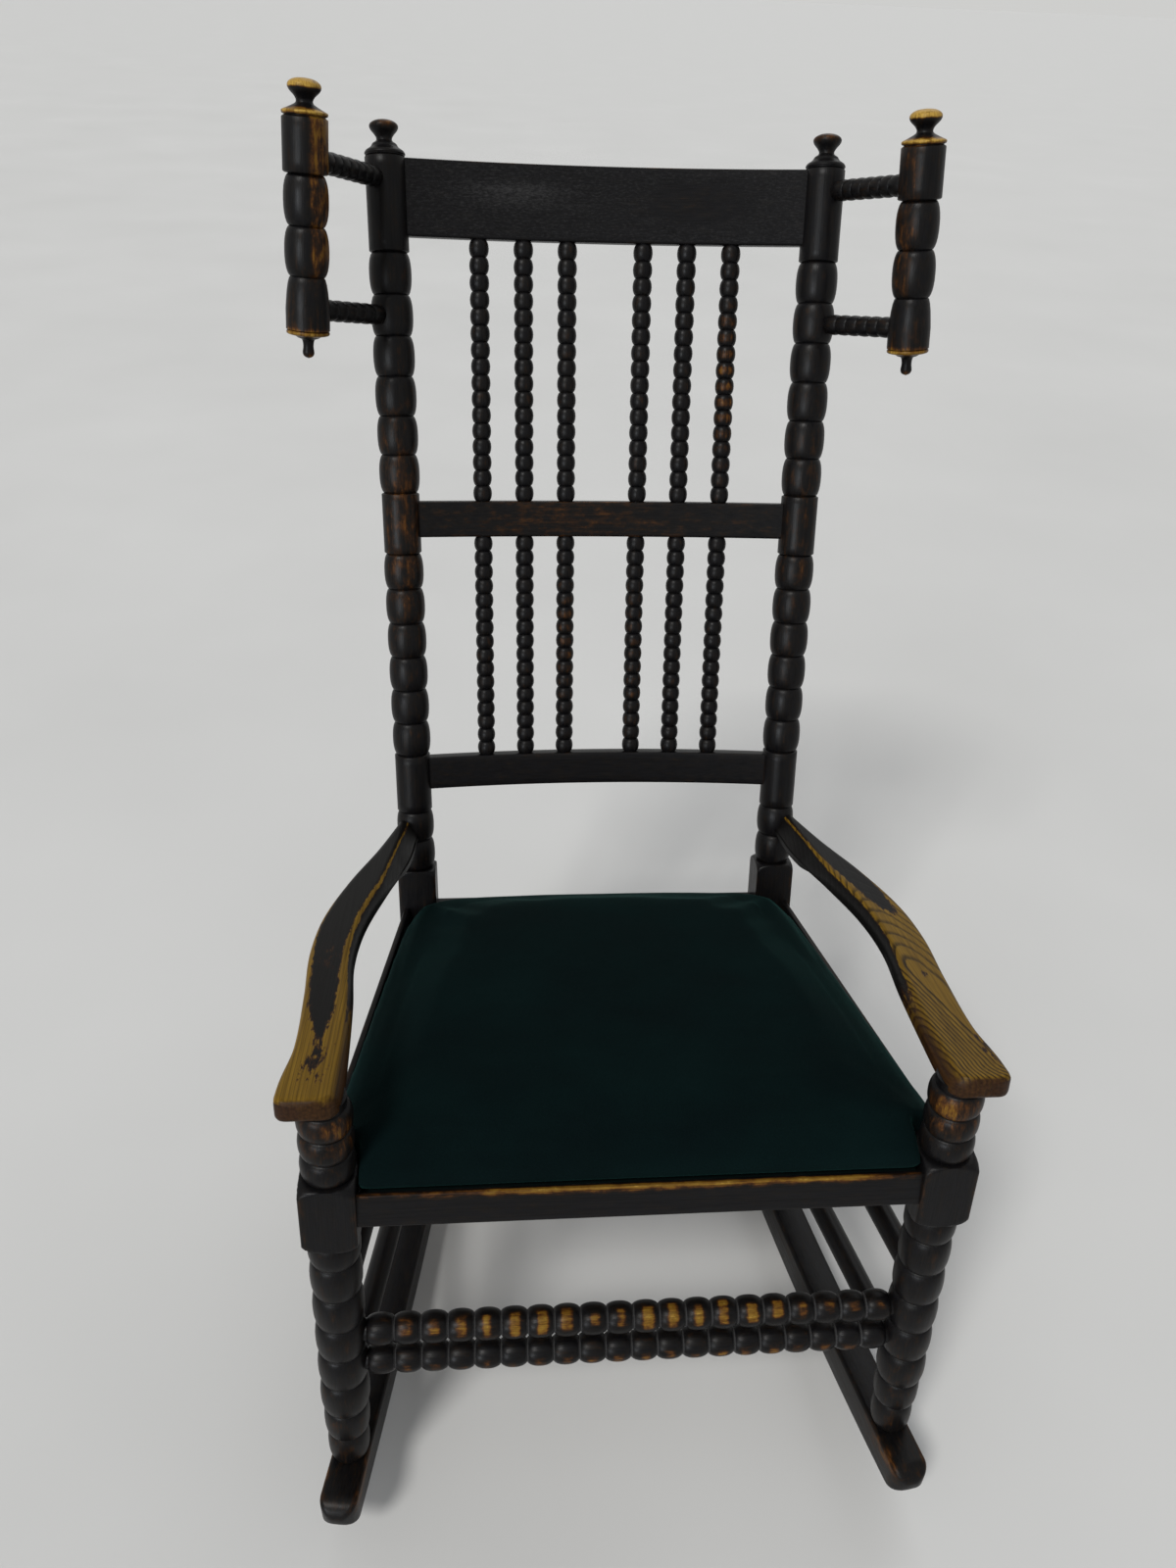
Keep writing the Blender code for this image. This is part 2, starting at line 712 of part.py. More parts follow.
def arm_ends():
    """Rear and front ends of the line that the right arm swings about, in the arms' plane."""
    leg_x, leg_y = crossing(arm_matrix(), leg_point(1, 0.0), leg_up(1))
    post_x, post_y = crossing(arm_matrix(), post_point(1, 0.0), post_up(1))
    rear = Vector((post_x + ARM_REAR_OFFSET, post_y - POST_DIAMETER / 2))
    front = Vector((leg_x + ARM_FRONT_OFFSET, leg_y - ARM_FRONT_REACH))
    return rear, front


def arm_outline(side, grow):
    rear, front = arm_ends()
    outer = [(rear.x + ARM_SHAPE[0][2] / 2 + grow, rear.y + ARM_REAR_SEAT + grow)]
    inner = [(rear.x - ARM_SHAPE[0][2] / 2 - grow, rear.y + ARM_REAR_SEAT + grow)]
    for i in range(ARM_STEPS + 1):
        share = i / ARM_STEPS
        swing, half = arm_line(share)
        middle = rear.lerp(front, share)
        y = middle.y - (grow if i == ARM_STEPS else 0.0)
        outer.append((middle.x + swing + half + grow, y))
        inner.append((middle.x + swing - half - grow, y))
    return [(side * x, y) for x, y in outer + inner[::-1]]


def arm_mesh(name, side, grow):
    return outline_mesh(name, arm_outline(side, grow), ARM_THICKNESS + 2 * grow)


def arm_matrix():
    return arm_frame() @ Matrix.Translation((0.0, 0.0, ARM_THICKNESS / 2))


def bow(x, height):
    return RAIL_BOW * (1.0 - (x / back_half_width(height)) ** 2)


def back_rail_mesh(name, height, depth, grow):
    """Bowed rail of the back, its ends reaching into the posts."""
    half = back_half_width(height) - POST_PLAIN / 2 + BACK_RAIL_SEAT + grow
    places = [half * (2.0 * i / BOW_STEPS - 1.0) for i in range(BOW_STEPS + 1)]
    thickness = BACK_RAIL_THICKNESS / 2 + grow
    outline = [(x, bow(x, height) - thickness) for x in places]
    outline += [(x, bow(x, height) + thickness) for x in reversed(places)]
    return outline_mesh(name, outline, depth + 2 * grow)


def rectangle(left, right, front, rear, grow):
    return [
        (left - grow, front - grow), (right + grow, front - grow),
        (right + grow, rear + grow), (left - grow, rear + grow),
    ]


def slanted(side, front, rear, inner, outer, grow):
    """Strip beside the side rail's centre line, between two offsets from it."""
    outline = [
        (side_rail_x(front, inner) - grow, front - grow), (side_rail_x(front, outer) + grow, front - grow),
        (side_rail_x(rear, outer) + grow, rear + grow), (side_rail_x(rear, inner) - grow, rear + grow),
    ]
    return [(side * x, y) for x, y in outline]


def seat_rail_outline(kind, grow):
    leg_face = LEG_SEAT_X - LEG_BLOCK / 2 + RAIL_SEAT
    post_face = POST_SEAT_X - POST_BLOCK / 2 + RAIL_SEAT
    half = RAIL_THICKNESS / 2
    if kind == "front":
        return rectangle(-leg_face, leg_face, FRONT_RAIL_Y, FRONT_RAIL_Y + RAIL_THICKNESS, grow)
    if kind == "back":
        return rectangle(-post_face, post_face, BACK_RAIL_Y, BACK_RAIL_Y + RAIL_THICKNESS, grow)
    side = dict(SIDES)[kind]
    return slanted(side, SIDE_RAIL_START, SIDE_RAIL_END, -half, half, grow)


def seat_level(bottom, top):
    """Frame in the seat's plane, midway between two heights above the rails' tops."""
    return seat_frame() @ Matrix.Translation((0.0, 0.0, (bottom + top) / 2))


def rail_mortise(kind):
    mesh = outline_mesh("mortise_rail_" + kind, seat_rail_outline(kind, FIT), RAIL_HEIGHT + 2 * FIT)
    return add_cutter("mortise_rail_" + kind, mesh, seat_level(-RAIL_HEIGHT, 0.0))


RAIL_MORTISES = {kind: rail_mortise(kind) for kind in ("front", "back", "left", "right")}
BACK_RAILS = {
    "crest_rail": (CREST_CENTRE, CREST_HEIGHT),
    "middle_rail": (MIDDLE_CENTRE, MIDDLE_HEIGHT),
    "lower_rail": (LOWER_CENTRE, LOWER_HEIGHT),
}


def back_rail_mortise(name):
    centre, depth = BACK_RAILS[name]
    mesh = back_rail_mesh("mortise_" + name, centre, depth, FIT)
    return add_cutter("mortise_" + name, mesh, back_frame(centre))


BACK_RAIL_MORTISES = [back_rail_mortise(name) for name in BACK_RAILS]


# Rockers, legs and posts

def foot_trim(name, side):
    """Wide copy of the rocker, to which the feet are cut."""
    mesh = outline_mesh("trim_" + name, rocker_outline(FIT), TRIM_WIDTH)
    return add_cutter("trim_" + name, mesh, rocker_frame(side))


def make_rocker(name, side):
    mesh = outline_mesh("rocker_" + name, rocker_outline(0.0), ROCKER_THICKNESS)
    rocker = add_part("rocker_" + name, mesh, rocker_frame(side), EBONISED)
    bevel(rocker, ROCKER_ROUNDING, 1)
    front, rear = feet(side)
    leg_end = front - leg_up(side) * ROCKER_TENON
    post_end = rear - post_up(side) * ROCKER_TENON
    cut(rocker, bore("bore_leg_foot_" + name, leg_end, leg_point(side, 0.0), LEG_FOOT_TENON_DIAMETER / 2))
    cut(rocker, bore("bore_post_foot_" + name, post_end, post_point(side, 0.0), POST_FOOT_TENON_DIAMETER / 2))


def leg_core(name, matrix):
    """Foot tenon below and pin above, joined through the middle of the leg."""
    foot = LEG_FOOT_TENON_DIAMETER / 2
    pin = LEG_PIN_DIAMETER / 2
    top = LEG_UPPER_RINGS * LEG_UPPER_RING + LEG_PIN
    bottom = -LEG_FOOT - ROCKER_TENON
    profile = [(0.0, top), (pin, top), (pin, 0.0), (foot, 0.0), (foot, bottom), (0.0, bottom)]
    return turned_cutter("core_leg_" + name, profile, STICK_SIDES, matrix)


def arm_slab(name, side):
    """Block above the arm's underside, to which the top of the leg is cut."""
    size = (TRIM_WIDTH, TRIM_WIDTH, ARM_THICKNESS * 2)
    leg_x, leg_y = crossing(arm_frame(), leg_point(side, 0.0), leg_up(side))
    place = arm_frame() @ Matrix.Translation((leg_x, leg_y, ARM_THICKNESS - FIT))
    return add_cutter("trim_arm_" + name, box_mesh("trim_arm_" + name, size), place)


def make_front_leg(name, side, trim, bores):
    matrix = frame_along(leg_point(side, 0.0), leg_up(side))
    leg = turned_part("front_leg_" + name, leg_profile(), POST_SIDES, matrix, EBONISED)
    join(leg, square_block("block_leg_" + name, LEG_BLOCK, LEG_BLOCK_LENGTH, LEG_DIAMETER, matrix))
    cut(leg, trim, arm_slab(name, side))
    join(leg, leg_core(name, matrix))
    cut(leg, RAIL_MORTISES["front"], RAIL_MORTISES[name], *bores)


def make_post(name, side, trim, bores):
    matrix = frame_along(post_point(side, 0.0), post_up(side))
    post = turned_part("rear_post_" + name, post_profile(), POST_SIDES, matrix, EBONISED)
    join(post, square_block("block_post_" + name, POST_BLOCK, POST_BLOCK_LENGTH, POST_DIAMETER, matrix))
    cut(post, trim)
    core = bar_profile(POST_FOOT_TENON_DIAMETER / 2, -POST_FOOT - ROCKER_TENON, -POST_BLOCK_LENGTH)
    join(post, turned_cutter("core_post_" + name, core, STICK_SIDES, matrix))
    arm_mortise = add_cutter("mortise_arm_" + name, arm_mesh("mortise_arm_" + name, side, FIT), arm_matrix())
    cut(post, RAIL_MORTISES["back"], RAIL_MORTISES[name], arm_mortise, *BACK_RAIL_MORTISES, *bores)


# Stretchers and wing spindles return the bore that seats them

def leg_bobbin_centre(number):
    return -LEG_BLOCK_LENGTH - LEG_FIRST_BOBBIN - (number - 0.5) * LEG_BOBBIN


def make_front_stretcher(name, bobbin_number):
    height = leg_bobbin_centre(bobbin_number)
    inset = clear_of(leg_up(1), LEG_DIAMETER / 2, WORLD_X, FRONT_BEAD_GROOVE / 2)
    start, end = span(leg_point(-1, height), leg_point(1, height), inset, inset)
    profile = bead_stick(
        (end - start).length, FRONT_BEADS, FRONT_BEAD_DIAMETER, FRONT_BEAD_GROOVE,
        FRONT_TENON_DIAMETER, FRONT_TENON,
    )
    turned_part("front_stretcher_" + name, profile, STICK_SIDES, frame_along(start, end - start), EBONISED)
    bore_start, bore_end = span(start, end, -FRONT_TENON, -FRONT_TENON)
    return bore("bore_front_" + name, bore_start, bore_end, FRONT_TENON_DIAMETER / 2)


def make_plain_stretcher(name, start, end, hint):
    length = (end - start).length
    radius = SIDE_STRETCHER_DIAMETER / 2
    turned_part(name, bar_profile(radius, 0.0, length), STICK_SIDES, frame_along(start, end - start, hint), EBONISED)
    return bore("bore_" + name, start, end, radius)


def make_side_stretcher(name, side, level, drop):
    front = leg_point(side, -drop)
    rear = axis_at_height(post_point(side, 0.0), post_up(side), front.z - SIDE_STRETCHER_FALL)
    start, end = span(
        front, rear, LEG_DIAMETER / 2 - SIDE_STRETCHER_SEAT, POST_FOOT_DIAMETER / 2 - SIDE_STRETCHER_SEAT,
    )
    return make_plain_stretcher("side_stretcher_" + level + "_" + name, start, end, WORLD_X)


def make_back_stretcher():
    inset = POST_FOOT_DIAMETER / 2 - SIDE_STRETCHER_SEAT
    left = post_point(-1, -BACK_STRETCHER_DROP)
    right = post_point(1, -BACK_STRETCHER_DROP)
    return make_plain_stretcher("back_stretcher", *span(left, right, inset, inset), WORLD_Y)


def make_wing_spindle(level, name, side, post_height, wing_depth):
    post = post_point(side, post_height)
    wing = wing_point(side, wing_depth)
    half = WING_SPINDLE_GROOVE / 2
    start, end = span(
        post, wing, clear_of(post_up(side), POST_DIAMETER / 2, wing - post, half),
        clear_of(wing_down(side), WING_DIAMETER / 2, wing - post, half),
    )
    length = (end - start).length
    profile = bead_stick(
        length, round(length / WING_SPINDLE_PITCH), WING_SPINDLE_DIAMETER, WING_SPINDLE_GROOVE,
        WING_TENON_DIAMETER, WING_TENON,
    )
    full_name = "wing_spindle_" + level + "_" + name
    turned_part(full_name, profile, SPINDLE_SIDES, frame_along(start, end - start), EBONISED)
    bore_start, bore_end = span(start, end, -WING_TENON, -WING_TENON)
    return bore("bore_" + full_name, bore_start, bore_end, WING_TENON_DIAMETER / 2)


def make_wing_post(name, side, bores):
    matrix = frame_along(wing_point(side, 0.0), -wing_down(side))
    wing = turned_part("wing_post_" + name, wing_profile(), POST_SIDES, matrix, EBONISED)
    cut(wing, *bores)


# Back rails and bead spindles

def spindle_places():
    """Places across the back of one tier's spindles, from left to right."""
    right = [SPINDLE_FIRST + i * SPINDLE_STEP for i in range(SPINDLES_A_SIDE)]
    return [-x for x in reversed(right)] + right


def make_spindle_tier(tier, below, above):
    """Six spindles between two rails; returns their bores."""
    bottom = BACK_RAILS[below][0] + BACK_RAILS[below][1] / 2 + FIT
    top = BACK_RAILS[above][0] - BACK_RAILS[above][1] / 2 - FIT
    profile = bead_stick(
        top - bottom, SPINDLE_BEADS, SPINDLE_DIAMETER, SPINDLE_GROOVE, SPINDLE_TENON_DIAMETER, SPINDLE_TENON,
    )
    bores = []
    for number, x in enumerate(spindle_places(), start=1):
        name = tier + "_spindle_" + str(number)
        place = Matrix.Translation((x, bow(x, (bottom + top) / 2), 0.0))
        frame = back_frame(bottom) @ place
        turned_part(name, profile, SPINDLE_SIDES, frame, EBONISED)
        low_end = frame @ Vector((0.0, 0.0, -SPINDLE_TENON))
        high_end = frame @ Vector((0.0, 0.0, top - bottom + SPINDLE_TENON))
        bores.append(bore("bore_" + name, low_end, high_end, SPINDLE_TENON_DIAMETER / 2))
    return bores


def make_back_rail(name, bores):
    centre, depth = BACK_RAILS[name]
    rail = add_part(name, back_rail_mesh(name, centre, depth, 0.0), back_frame(centre), EBONISED)
    bevel(rail, BACK_RAIL_EASE, 1)
    cut(rail, *bores)


# Arms and seat rails

def arm_ease(name, side):
    """Block above the sloping plane that eases the inner top edge of the arm's rear half."""
    rear, front = arm_ends()
    swing, half = arm_line(ARM_EASE_END)
    stop = rear.lerp(front, ARM_EASE_END)
    top = ARM_THICKNESS / 2
    start = Vector((side * rear.x, rear.y, top))
    below = Vector((side * (rear.x - ARM_SHAPE[0][2] / 2), rear.y, top - ARM_EASE_DEPTH))
    end = Vector((side * (stop.x + swing - half), stop.y, top))
    up = (end - start).cross(below - start)
    up *= math.copysign(1.0, up.z)
    plane = frame_along((start + end) / 2, up, end - start)
    place = arm_matrix() @ plane @ Matrix.Translation((0.0, 0.0, ARM_THICKNESS))
    size = (TRIM_WIDTH, (end - start).length, 2 * ARM_THICKNESS)
    return add_cutter("ease_arm_" + name, box_mesh("ease_arm_" + name, size), place)


def make_arm(name, side):
    arm = add_part("arm_" + name, arm_mesh("arm_" + name, side, 0.0), arm_matrix(), WORN_ASH)
    bevel(arm, ARM_ROUNDING, 2)
    pin_end = leg_point(side, LEG_UPPER_RINGS * LEG_UPPER_RING + LEG_PIN)
    pin = bore("bore_pin_" + name, leg_point(side, 0.0), pin_end, LEG_PIN_DIAMETER / 2)
    cut(arm, arm_ease(name, side), pin)


def rebate_outline():
    front = FRONT_RAIL_Y + REBATE_LIP
    rear = BACK_RAIL_Y + RAIL_THICKNESS - BACK_LIP
    lip = RAIL_THICKNESS / 2 - REBATE_LIP
    right = [(side_rail_x(front, lip), front), (side_rail_x(rear, lip), rear)]
    return right + [(-x, y) for x, y in reversed(right)]


def make_seat_rails():
    mesh = outline_mesh("rebate", rebate_outline(), 2 * REBATE_DEPTH)
    rebate = add_cutter("rebate", mesh, seat_level(-REBATE_DEPTH, REBATE_DEPTH))
    for kind in RAIL_MORTISES:
        mesh = outline_mesh("seat_rail_" + kind, seat_rail_outline(kind, 0.0), RAIL_HEIGHT)
        rail = add_part("seat_rail_" + kind, mesh, seat_level(-RAIL_HEIGHT, 0.0), EBONISED)
        cut(rail, rebate)


# Drop-in seat

SLIP_FRONT = FRONT_RAIL_Y + REBATE_LIP + FIT
SLIP_REAR = BACK_RAIL_Y + RAIL_THICKNESS - BACK_LIP - FIT
SLIP_OUTER = RAIL_THICKNESS / 2 - REBATE_LIP - 1.1 * FIT
SLIP_INNER = SLIP_OUTER - SIDE_SLIP_WIDTH
SIDE_SLIP_START = SLIP_FRONT + SLIP_WIDTH + FIT
SIDE_SLIP_END = SLIP_REAR - SLIP_WIDTH - FIT
SLIP_BOTTOM = FIT - REBATE_DEPTH
SLIP_TOP = SLIP_BOTTOM + SLIP_THICKNESS
PAD_BOTTOM = SLIP_TOP + 2 * (STRAP_THICKNESS + FIT) + FIT


def make_seat_holder():
    """Empty on the line along which the seat lifts, square to its plane."""
    holder = bpy.data.objects.new("drop_in_seat", None)
    holder.matrix_world = seat_frame() @ Matrix.Translation((0.0, (SLIP_FRONT + SLIP_REAR) / 2, 0.0))
    PARTS.objects.link(holder)
    return holder


def hold(part, holder):
    world = part.matrix_world.copy()
    part.parent = holder
    part.matrix_parent_inverse = holder.matrix_world.inverted()
    part.matrix_world = world
    return part


def tongue_bar(name, side, grow):
    """Bar through a side slip whose ends are the tongues."""
    inner = SLIP_INNER + SLIP_TONGUE_INSET - SLIP_TONGUE_WIDTH / 2
    outline = slanted(
        side, SIDE_SLIP_START - SLIP_TONGUE, SIDE_SLIP_END + SLIP_TONGUE, inner, inner + SLIP_TONGUE_WIDTH, grow,
    )
    mesh = outline_mesh(name, outline, SLIP_TONGUE_THICKNESS + 2 * grow)
    return add_cutter(name, mesh, seat_level(SLIP_BOTTOM, SLIP_TOP))


def make_slips(holder):
    level = seat_level(SLIP_BOTTOM, SLIP_TOP)
    front_half = LEG_SEAT_X - LEG_BLOCK / 2 - SLIP_CORNER_GAP
    rear_half = POST_SEAT_X - POST_BLOCK / 2 - SLIP_CORNER_GAP
    outlines = {
        "front": rectangle(-front_half, front_half, SLIP_FRONT, SLIP_FRONT + SLIP_WIDTH, 0.0),
        "back": rectangle(-rear_half, rear_half, SLIP_REAR - SLIP_WIDTH, SLIP_REAR, 0.0),
    }
    for name, side in SIDES:
        outlines[name] = slanted(side, SIDE_SLIP_START, SIDE_SLIP_END, SLIP_INNER, SLIP_OUTER, 0.0)
    slips = {}
    for kind, outline in outlines.items():
        mesh = outline_mesh("seat_slip_" + kind, outline, SLIP_THICKNESS)
        slips[kind] = hold(add_part("seat_slip_" + kind, mesh, level, PINE), holder)
    for name, side in SIDES:
        join(slips[name], tongue_bar("tongue_" + name, side, 0.0))
        mortise = tongue_bar("tongue_mortise_" + name, side, FIT)
        cut(slips["front"], mortise)
        cut(slips["back"], mortise)


def make_straps(holder):
    across = seat_level(SLIP_TOP + FIT, SLIP_TOP + FIT + STRAP_THICKNESS)
    lift = Matrix.Translation((0.0, 0.0, STRAP_THICKNESS + FIT))
    reach_front = SIDE_SLIP_START - STRAP_LAP
    reach_rear = SIDE_SLIP_END + STRAP_LAP
    spread = side_rail_x(SIDE_SLIP_END, SLIP_INNER) * 2
    for number in range(1, STRAPS + 1):
        share = number / (STRAPS + 1)
        y = SIDE_SLIP_START + (SIDE_SLIP_END - SIDE_SLIP_START) * share
        half = side_rail_x(y, SLIP_INNER) + STRAP_LAP
        x = spread * (share - 0.5)
        shapes = {
            "across": (rectangle(-half, half, y - STRAP_WIDTH / 2, y + STRAP_WIDTH / 2, 0.0), across),
            "along": (
                rectangle(x - STRAP_WIDTH / 2, x + STRAP_WIDTH / 2, reach_front, reach_rear, 0.0), across @ lift,
            ),
        }
        for way, (outline, level) in shapes.items():
            name = "strap_" + way + "_" + str(number)
            hold(add_part(name, outline_mesh(name, outline, STRAP_THICKNESS), level, JUTE), holder)


def pad_lines():
    """Places of the pad's cage lines: rows from front to rear, and the notch's width."""
    front = FRONT_RAIL_Y + REBATE_LIP + PAD_GAP
    notch = LEG_SEAT_Y + LEG_BLOCK / 2 + 2 * PAD_GAP
    rear = SLIP_REAR - PAD_GAP
    corner = rear - PAD_CORNER
    third = (corner - notch) / 3
    rows = [front, notch, notch + third, notch + 2 * third, corner, rear]
    return rows, LEG_SEAT_X - LEG_BLOCK / 2 - 2 * PAD_GAP


def pad_spot(column, row):
    """Plan position of a cage point, by column from the left and row from the front."""
    rows, notch_x = pad_lines()
    edge = RAIL_THICKNESS / 2 - REBATE_LIP - PAD_GAP
    side_x = side_rail_x(rows[row], edge)
    inner_x = side_x - (side_rail_x(rows[0], edge) - notch_x)
    y = rows[row]
    if row == PAD_ROWS:
        inner_x -= PAD_REAR_DRAW
        side_x = inner_x + PAD_CORNER * 0.7
        y -= PAD_CORNER * 0.5 if column in (0, PAD_COLUMNS) else 0.0
    return (-side_x, -inner_x, 0.0, inner_x, side_x)[column], y


def beside_notch(column, row):
    side = min(column, PAD_COLUMNS - column)
    return (side, row) in ((1, 0), (1, 1), (0, 1))


def make_pad(holder):
    """Coarse cage of the pad, notched round the legs' blocks, rounded by subdivision."""
    mesh = bpy.data.meshes.new("seat_pad")
    shape = bmesh.new()
    column_of = shape.verts.layers.int.new("column")
    row_of = shape.verts.layers.int.new("row")
    bmesh.ops.create_grid(shape, x_segments=PAD_COLUMNS, y_segments=PAD_ROWS, size=1.0)
    for vertex in list(shape.verts):
        column = round((vertex.co.x + 1.0) / 2 * PAD_COLUMNS)
        row = round((vertex.co.y + 1.0) / 2 * PAD_ROWS)
        if row == 0 and column in (0, PAD_COLUMNS):
            shape.verts.remove(vertex)
            continue
        vertex[column_of] = column
        vertex[row_of] = row
        vertex.co = (*pad_spot(column, row), PAD_BOTTOM)
    crease = shape.edges.layers.float.new("crease_edge")
    for edge in shape.edges:
        edge[crease] = 1.0 if edge.is_boundary else 0.0
    bottom = list(shape.faces)
    belly = raise_pad(shape, bottom, PAD_EDGE * 0.55, PAD_BULGE)
    raise_pad(shape, belly, PAD_EDGE * 0.45, -PAD_BULGE - PAD_TOP_INSET)
    bmesh.ops.delete(shape, geom=belly, context="FACES_ONLY")
    crown_pad(shape)
    for edge in shape.edges:
        if all(beside_notch(vertex[column_of], vertex[row_of]) for vertex in edge.verts):
            edge[crease] = 1.0
    bmesh.ops.recalc_face_normals(shape, faces=shape.faces)
    shape.to_mesh(mesh)
    shape.free()
    mesh.shade_smooth()
    pad = hold(add_part("seat_pad", mesh, seat_frame(), VELVET), holder)
    stuffing = pad.modifiers.new("stuffing", "SUBSURF")
    stuffing.levels = 2
    stuffing.render_levels = 2


def raise_pad(shape, faces, height, outwards):
    """Extrude faces upwards and move the new rim outwards at the sides and the front."""
    column_of = shape.verts.layers.int["column"]
    row_of = shape.verts.layers.int["row"]
    made = bmesh.ops.extrude_face_region(shape, geom=faces, use_keep_orig=True)["geom"]
    for vertex in [item for item in made if isinstance(item, bmesh.types.BMVert)]:
        vertex.co.z += height
        if vertex[column_of] in (0, PAD_COLUMNS) and vertex[row_of] < PAD_ROWS:
            vertex.co.x += outwards * math.copysign(1.0, vertex.co.x)
        if vertex[row_of] == 0:
            vertex.co.y -= outwards
        if vertex[row_of] == PAD_ROWS:
            vertex.co.y += min(outwards, 0.0)
    return [item for item in made if isinstance(item, bmesh.types.BMFace)]


def crown_pad(shape):
    """Raise the top towards the middle of the seat."""
    column_of = shape.verts.layers.int["column"]
    row_of = shape.verts.layers.int["row"]
    level = max(vertex.co.z for vertex in shape.verts)
    for vertex in shape.verts:
        if level - vertex.co.z < FIT:
            across = 2.0 * vertex[column_of] / PAD_COLUMNS - 1.0
            along = math.sin(math.pi * vertex[row_of] / PAD_ROWS)
            vertex.co.z += PAD_CROWN * (1.0 - across ** 2) * math.sqrt(max(0.0, along))


# Whole chair

def make_chair():
    front_bores = [make_front_stretcher(level, number)
                   for level, number in zip(("upper", "lower"), FRONT_STRETCHER_BOBBINS)]
    back_bore = make_back_stretcher()
    lower_joint = UPPER_BOBBINS_TOP - 1.5 * UPPER_BOBBIN
    upper_joint = POST_TOP - POST_UPPER_JOINT
    for name, side in SIDES:
        make_rocker(name, side)
        trim = foot_trim(name, side)
        side_bores = [
            make_side_stretcher(name, side, "upper", SIDE_UPPER_DROP),
            make_side_stretcher(name, side, "lower", SIDE_LOWER_DROP),
        ]
        wing_bores = [
            make_wing_spindle("upper", name, side, upper_joint, WING_UPPER_JOINT),
            make_wing_spindle("lower", name, side, lower_joint, WING_LOWER_JOINT),
        ]
        make_front_leg(name, side, trim, front_bores + side_bores)
        make_post(name, side, trim, side_bores + wing_bores + [back_bore])
        make_wing_post(name, side, wing_bores)
        make_arm(name, side)
    upper_bores = make_spindle_tier("upper", "middle_rail", "crest_rail")
    lower_bores = make_spindle_tier("lower", "lower_rail", "middle_rail")
    make_back_rail("crest_rail", upper_bores)
    make_back_rail("middle_rail", upper_bores + lower_bores)
    make_back_rail("lower_rail", lower_bores)
    make_seat_rails()
    holder = make_seat_holder()
    make_slips(holder)
    make_straps(holder)
    make_pad(holder)


def centre_on_floor():
    """Move everything so that the chair stands on the floor round the origin."""
    bpy.context.view_layer.update()
    graph = bpy.context.evaluated_depsgraph_get()
    corners = []
    for part in PARTS.objects:
        if part.type == "MESH":
            built = part.evaluated_get(graph)
            corners += [built.matrix_world @ Vector(corner) for corner in built.bound_box]
    low = Vector([min(corner[i] for corner in corners) for i in range(3)])
    high = Vector([max(corner[i] for corner in corners) for i in range(3)])
    shift = Vector((-(low.x + high.x) / 2, -(low.y + high.y) / 2, -low.z))
    for item in list(PARTS.objects) + list(CUTTERS.objects):
        if item.parent is None:
            item.location += shift


make_chair()
centre_on_floor()
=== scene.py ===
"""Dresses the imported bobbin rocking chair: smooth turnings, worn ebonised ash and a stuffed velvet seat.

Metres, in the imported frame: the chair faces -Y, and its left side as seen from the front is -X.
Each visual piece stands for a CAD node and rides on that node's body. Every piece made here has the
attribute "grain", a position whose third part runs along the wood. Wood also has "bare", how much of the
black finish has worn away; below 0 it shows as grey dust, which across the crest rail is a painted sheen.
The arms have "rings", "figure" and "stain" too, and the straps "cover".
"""
import json
import math
import random

import bmesh
import bpy
import numpy as np
from mathutils import Matrix, Vector


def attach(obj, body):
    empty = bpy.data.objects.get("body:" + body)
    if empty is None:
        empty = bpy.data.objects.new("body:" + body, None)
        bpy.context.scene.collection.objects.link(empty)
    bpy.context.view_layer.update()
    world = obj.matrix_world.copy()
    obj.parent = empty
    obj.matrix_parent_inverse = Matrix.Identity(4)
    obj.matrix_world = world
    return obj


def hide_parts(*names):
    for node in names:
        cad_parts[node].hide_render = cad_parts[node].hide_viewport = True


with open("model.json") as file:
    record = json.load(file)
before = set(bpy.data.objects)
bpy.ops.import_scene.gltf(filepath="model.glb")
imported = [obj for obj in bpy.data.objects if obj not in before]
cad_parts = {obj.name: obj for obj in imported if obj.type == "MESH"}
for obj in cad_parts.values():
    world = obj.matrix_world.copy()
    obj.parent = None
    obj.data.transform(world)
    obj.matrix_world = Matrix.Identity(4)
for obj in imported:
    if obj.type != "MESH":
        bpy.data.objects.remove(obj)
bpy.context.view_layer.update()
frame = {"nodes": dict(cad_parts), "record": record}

# Front legs
LEG_X = 0.2438
LEG_TOP_Z = 0.4241
LEG_RAKE = math.radians(6.1)
LEG_SPREAD = math.radians(-1.47)
LEG_BLOCK = 0.044
LEG_BLOCK_LENGTH = 0.067
LEG_DIAMETER = 0.043
LEG_GROOVE = 0.0350
LEG_FOOT_DIAMETER = 0.037
LEG_UPPER_RINGS = 3
LEG_UPPER_RING = 0.023
LEG_FIRST_BOBBIN = 0.0276
LEG_BOBBINS = 5
LEG_BOBBIN = 0.0379
LEG_FOOT_BOBBIN = 0.0325

# Back posts
POST_X = 0.2010
POST_Y = 0.4440
POST_TOP_Z = 0.3671
POST_RAKE = math.radians(16.35)
POST_SPREAD = math.radians(0.51)
POST_BLOCK = 0.041
POST_BLOCK_LENGTH = 0.092
POST_DIAMETER = 0.040
POST_PLAIN = 0.0376
POST_GROOVE = 0.0322
POST_RINGS = 2
POST_RING = 0.0333
LOWER_PLAIN = 0.0646
LOWER_BOBBINS = 6
LOWER_BOBBIN = 0.0355
MIDDLE_PLAIN = 0.0603
UPPER_BOBBINS = 6
UPPER_BOBBIN = 0.0366
TOP_PLAIN = 0.0833
TOP_RIM = 0.0016
SHOULDER = 0.0085
FINIAL_NECK = 0.0070
FINIAL_NECK_DIAMETER = 0.0145
FINIAL_KNOB = 0.0125
FINIAL_KNOB_DIAMETER = 0.0265
POST_LEG_DIAMETER = 0.036
POST_LEG_STEP = 0.0025
